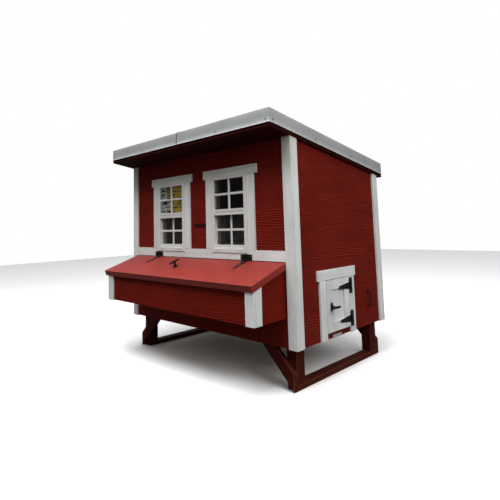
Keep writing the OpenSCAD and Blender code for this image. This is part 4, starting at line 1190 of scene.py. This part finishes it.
lid_out = Vector((0, -math.sin(LID_ANGLE), math.cos(LID_ANGLE)))
back_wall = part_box("siding_back")[0].y
fixed = bmesh.new()
moving = {"chicken_door": bmesh.new(), "nest_lid": bmesh.new(), "access_door": bmesh.new()}
for lo, hi in solids("hinge_pins"):
    middle, size = (lo + hi) / 2, hi - lo
    if size.x > size.z:
        body, along, leaf_out, strap_out = "nest_lid", (-1, 0, 0), (0, -1, 0), lid_out
    elif middle.y < back_wall:
        body, along, leaf_out, strap_out = "chicken_door", (0, 0, 1), (1, 0, 0), (1, 0, 0)
    else:
        body, along, leaf_out, strap_out = "access_door", (0, 0, 1), (0, 1, 0), (0, 1, 0)
    add_hinge_screws(fixed, hinge_place(middle, along, leaf_out), LEAF_AT)
    add_hinge_screws(moving[body], hinge_place(middle, along, strap_out), STRAP_AT)
piece(fixed, "hinge_leaf_screws", "house", screw_zinc)

# %% Screws in the handle plates
PLATE_SCREW = 0.025     # from the middle of the plate
PLATE_FACE = 0.0015     # from the middle of the plate to its face
for body, plate, up, out in (("chicken_door", "door_handle_plate", (0, 0, 1), (1, 0, 0)),
                             ("nest_lid", "lid_handle_plate", (1, 0, 0), lid_out),
                             ("access_door", "access_handle_plate", (0, 0, 1), (0, 1, 0))):
    up, out = Vector(up), Vector(out)
    lo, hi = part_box(plate)
    for s in (-1, 1):
        add_round_screw(moving[body], (lo + hi) / 2 + up * s * PLATE_SCREW + out * PLATE_FACE, out)
    piece(moving[body], body + "_screws", body, screw_zinc)

# %% [markdown]
# ## Cast handles
# A T-handle is a casting: its grip is fat, and its stem flares into a bell that covers the hole. Such
# round forms are drawn as half a profile and turned about an axis, like work on a lathe. They cover
# the plainer CAD handles, which stay inside, and ride on the same bodies.


# %% A turned form
def add_turned(bm, matrix, profile, sides=20):
    """Turns (radius, height) pairs about the Z axis of matrix, and closes both ends."""
    rings = [[bm.verts.new(matrix @ Vector((r * math.cos(a), r * math.sin(a), h)))
              for a in (2 * math.pi * k / sides for k in range(sides))] for r, h in profile]
    for one, two in zip(rings, rings[1:]):
        for k in range(sides):
            bm.faces.new((one[k - 1], one[k], two[k], two[k - 1]))
    bm.faces.new(rings[0][::-1])
    bm.faces.new(rings[-1])


# %% Handles, as (radius, height) pairs
BELL = [(0.0155, 0.0033), (0.0160, 0.0045), (0.0150, 0.0080), (0.0118, 0.0150), (0.0096, 0.0240),
        (0.0086, 0.0340), (0.0086, 0.0450)]
GRIP = [(0.0040, 0.0475), (0.0068, 0.0462), (0.0078, 0.0430), (0.0080, 0.0380), (0.0086, 0.0200),
        (0.0090, 0.0)]
WHOLE_GRIP = [(r, -h) for r, h in GRIP] + [(r, h) for r, h in reversed(GRIP[:-1])]
GRIP_HIGH = 0.046       # from the door to the middle of the grip
for body, grip_way, out in (("door_handle", (0, 1, 0), (1, 0, 0)),
                            ("lid_handle", slope_way, lid_out),
                            ("access_handle", (1, 0, 0), (0, 1, 0))):
    out, grip_way = Vector(out), Vector(grip_way)
    lo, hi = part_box(body + "_plate")
    foot = (lo + hi) / 2 - out * PLATE_FACE
    forms = bmesh.new()
    upright = Matrix((grip_way, out.cross(grip_way), out)).transposed().to_4x4()
    add_turned(forms, Matrix.Translation(foot) @ upright, BELL)
    level = Matrix((out, grip_way.cross(out), grip_way)).transposed().to_4x4()
    add_turned(forms, Matrix.Translation(foot + out * GRIP_HIGH) @ level, WHOLE_GRIP)
    bmesh.ops.recalc_face_normals(forms, faces=forms.faces[:])
    for face in forms.faces:
        face.smooth = len(face.verts) == 4
    piece(forms, "cast_" + body, body, black_iron)

# %% [markdown]
# ## Camera, light and floor
# The camera stands low in front of the right corner and looks slightly up. Its direction comes from
# three axes: right, up and back. A big soft lamp overhead stands in for an overcast sky, with a weaker
# one from the right. The floor is plain. It looks pale, but it throws little light back up, as ground
# would, so that the underside of the coop stays dark.

# %% Camera
camera_data = bpy.data.cameras.new("camera")
camera_data.sensor_width = 36.0
camera_data.lens = 30.70
camera_data.shift_y = -0.14
camera_data.clip_end = 100.0
camera = bpy.data.objects.new("camera", camera_data)
bpy.context.scene.collection.objects.link(camera)
right = Vector((0.71762, 0.69582, -0.02925))
back = Vector((0.69001, -0.71607, -0.10555))
up = back.cross(right)
turn = Matrix((right, up, back)).transposed().to_4x4()
camera.matrix_world = Matrix.Translation((2.8926, -2.8346, 1.1496)) @ turn
bpy.context.scene.camera = camera
print("camera at", [round(v, 3) for v in camera.location])


# %% Lamps
def soft_lamp(name, place_at, aim, size, watts):
    data = bpy.data.lights.new(name, "AREA")
    data.shape = "SQUARE"
    data.size = size
    data.energy = watts
    lamp = bpy.data.objects.new(name, data)
    bpy.context.scene.collection.objects.link(lamp)
    lamp.location = place_at
    lamp.rotation_euler = (Vector(aim) - Vector(place_at)).to_track_quat("-Z", "Y").to_euler()
    return lamp


soft_lamp("sky_lamp", (0.6, -2.2, 6.8), (0, 0, 0.8), 5.0, 710.0)
soft_lamp("side_lamp", (6.0, -1.4, 4.2), (0, 0, 1.0), 3.0, 185.0)
print("two lamps: overhead and to the right")

# %% Floor
THROWN = (0.09, 0.09, 0.09, 1)      # its colour for the light that it throws back
SEEN = (0.92, 0.92, 0.92, 1)        # and for the camera
bm = bmesh.new()
bmesh.ops.create_grid(bm, x_segments=4, y_segments=4, size=14.0)
mesh = bpy.data.meshes.new("floor")
bm.to_mesh(mesh)
bm.free()
floor = bpy.data.objects.new("floor", mesh)
bpy.context.scene.collection.objects.link(floor)
floor_mat, floor_tree, floor_shader = new_recipe("pale_floor")
in_view = put(floor_tree, "LightPath").outputs["Is Camera Ray"]
join(floor_tree, floor_shader, {"Base Color": mixed(floor_tree, in_view, THROWN, SEEN),
                                "Roughness": 0.9})
mesh.materials.append(floor_mat)

# %% [markdown]
# ## Surroundings
# An overcast sky is bright above and dim near the ground, which is what makes the eaves and the
# underside of the coop dark. The camera itself sees plain white behind the coop.

# %% Sky
world = bpy.data.worlds.new("studio")
world.use_nodes = True
sky = world.node_tree
way = put(sky, "TexCoord").outputs["Generated"]
glow = levels(sky, height_of(sky, way), 0.12, 0.9, 0.04, 1.0)
in_view = put(sky, "LightPath").outputs["Is Camera Ray"]
strength = put(sky, "MapRange", {"Value": in_view, "To Min": glow, "To Max": 1.0}).outputs[0]
join(sky, sky.nodes["Background"], {"Color": (1.0, 1.0, 1.0, 1), "Strength": strength})
bpy.context.scene.world = world
bpy.context.scene.view_settings.view_transform = "Standard"
print("the sky has", len(sky.nodes), "nodes")
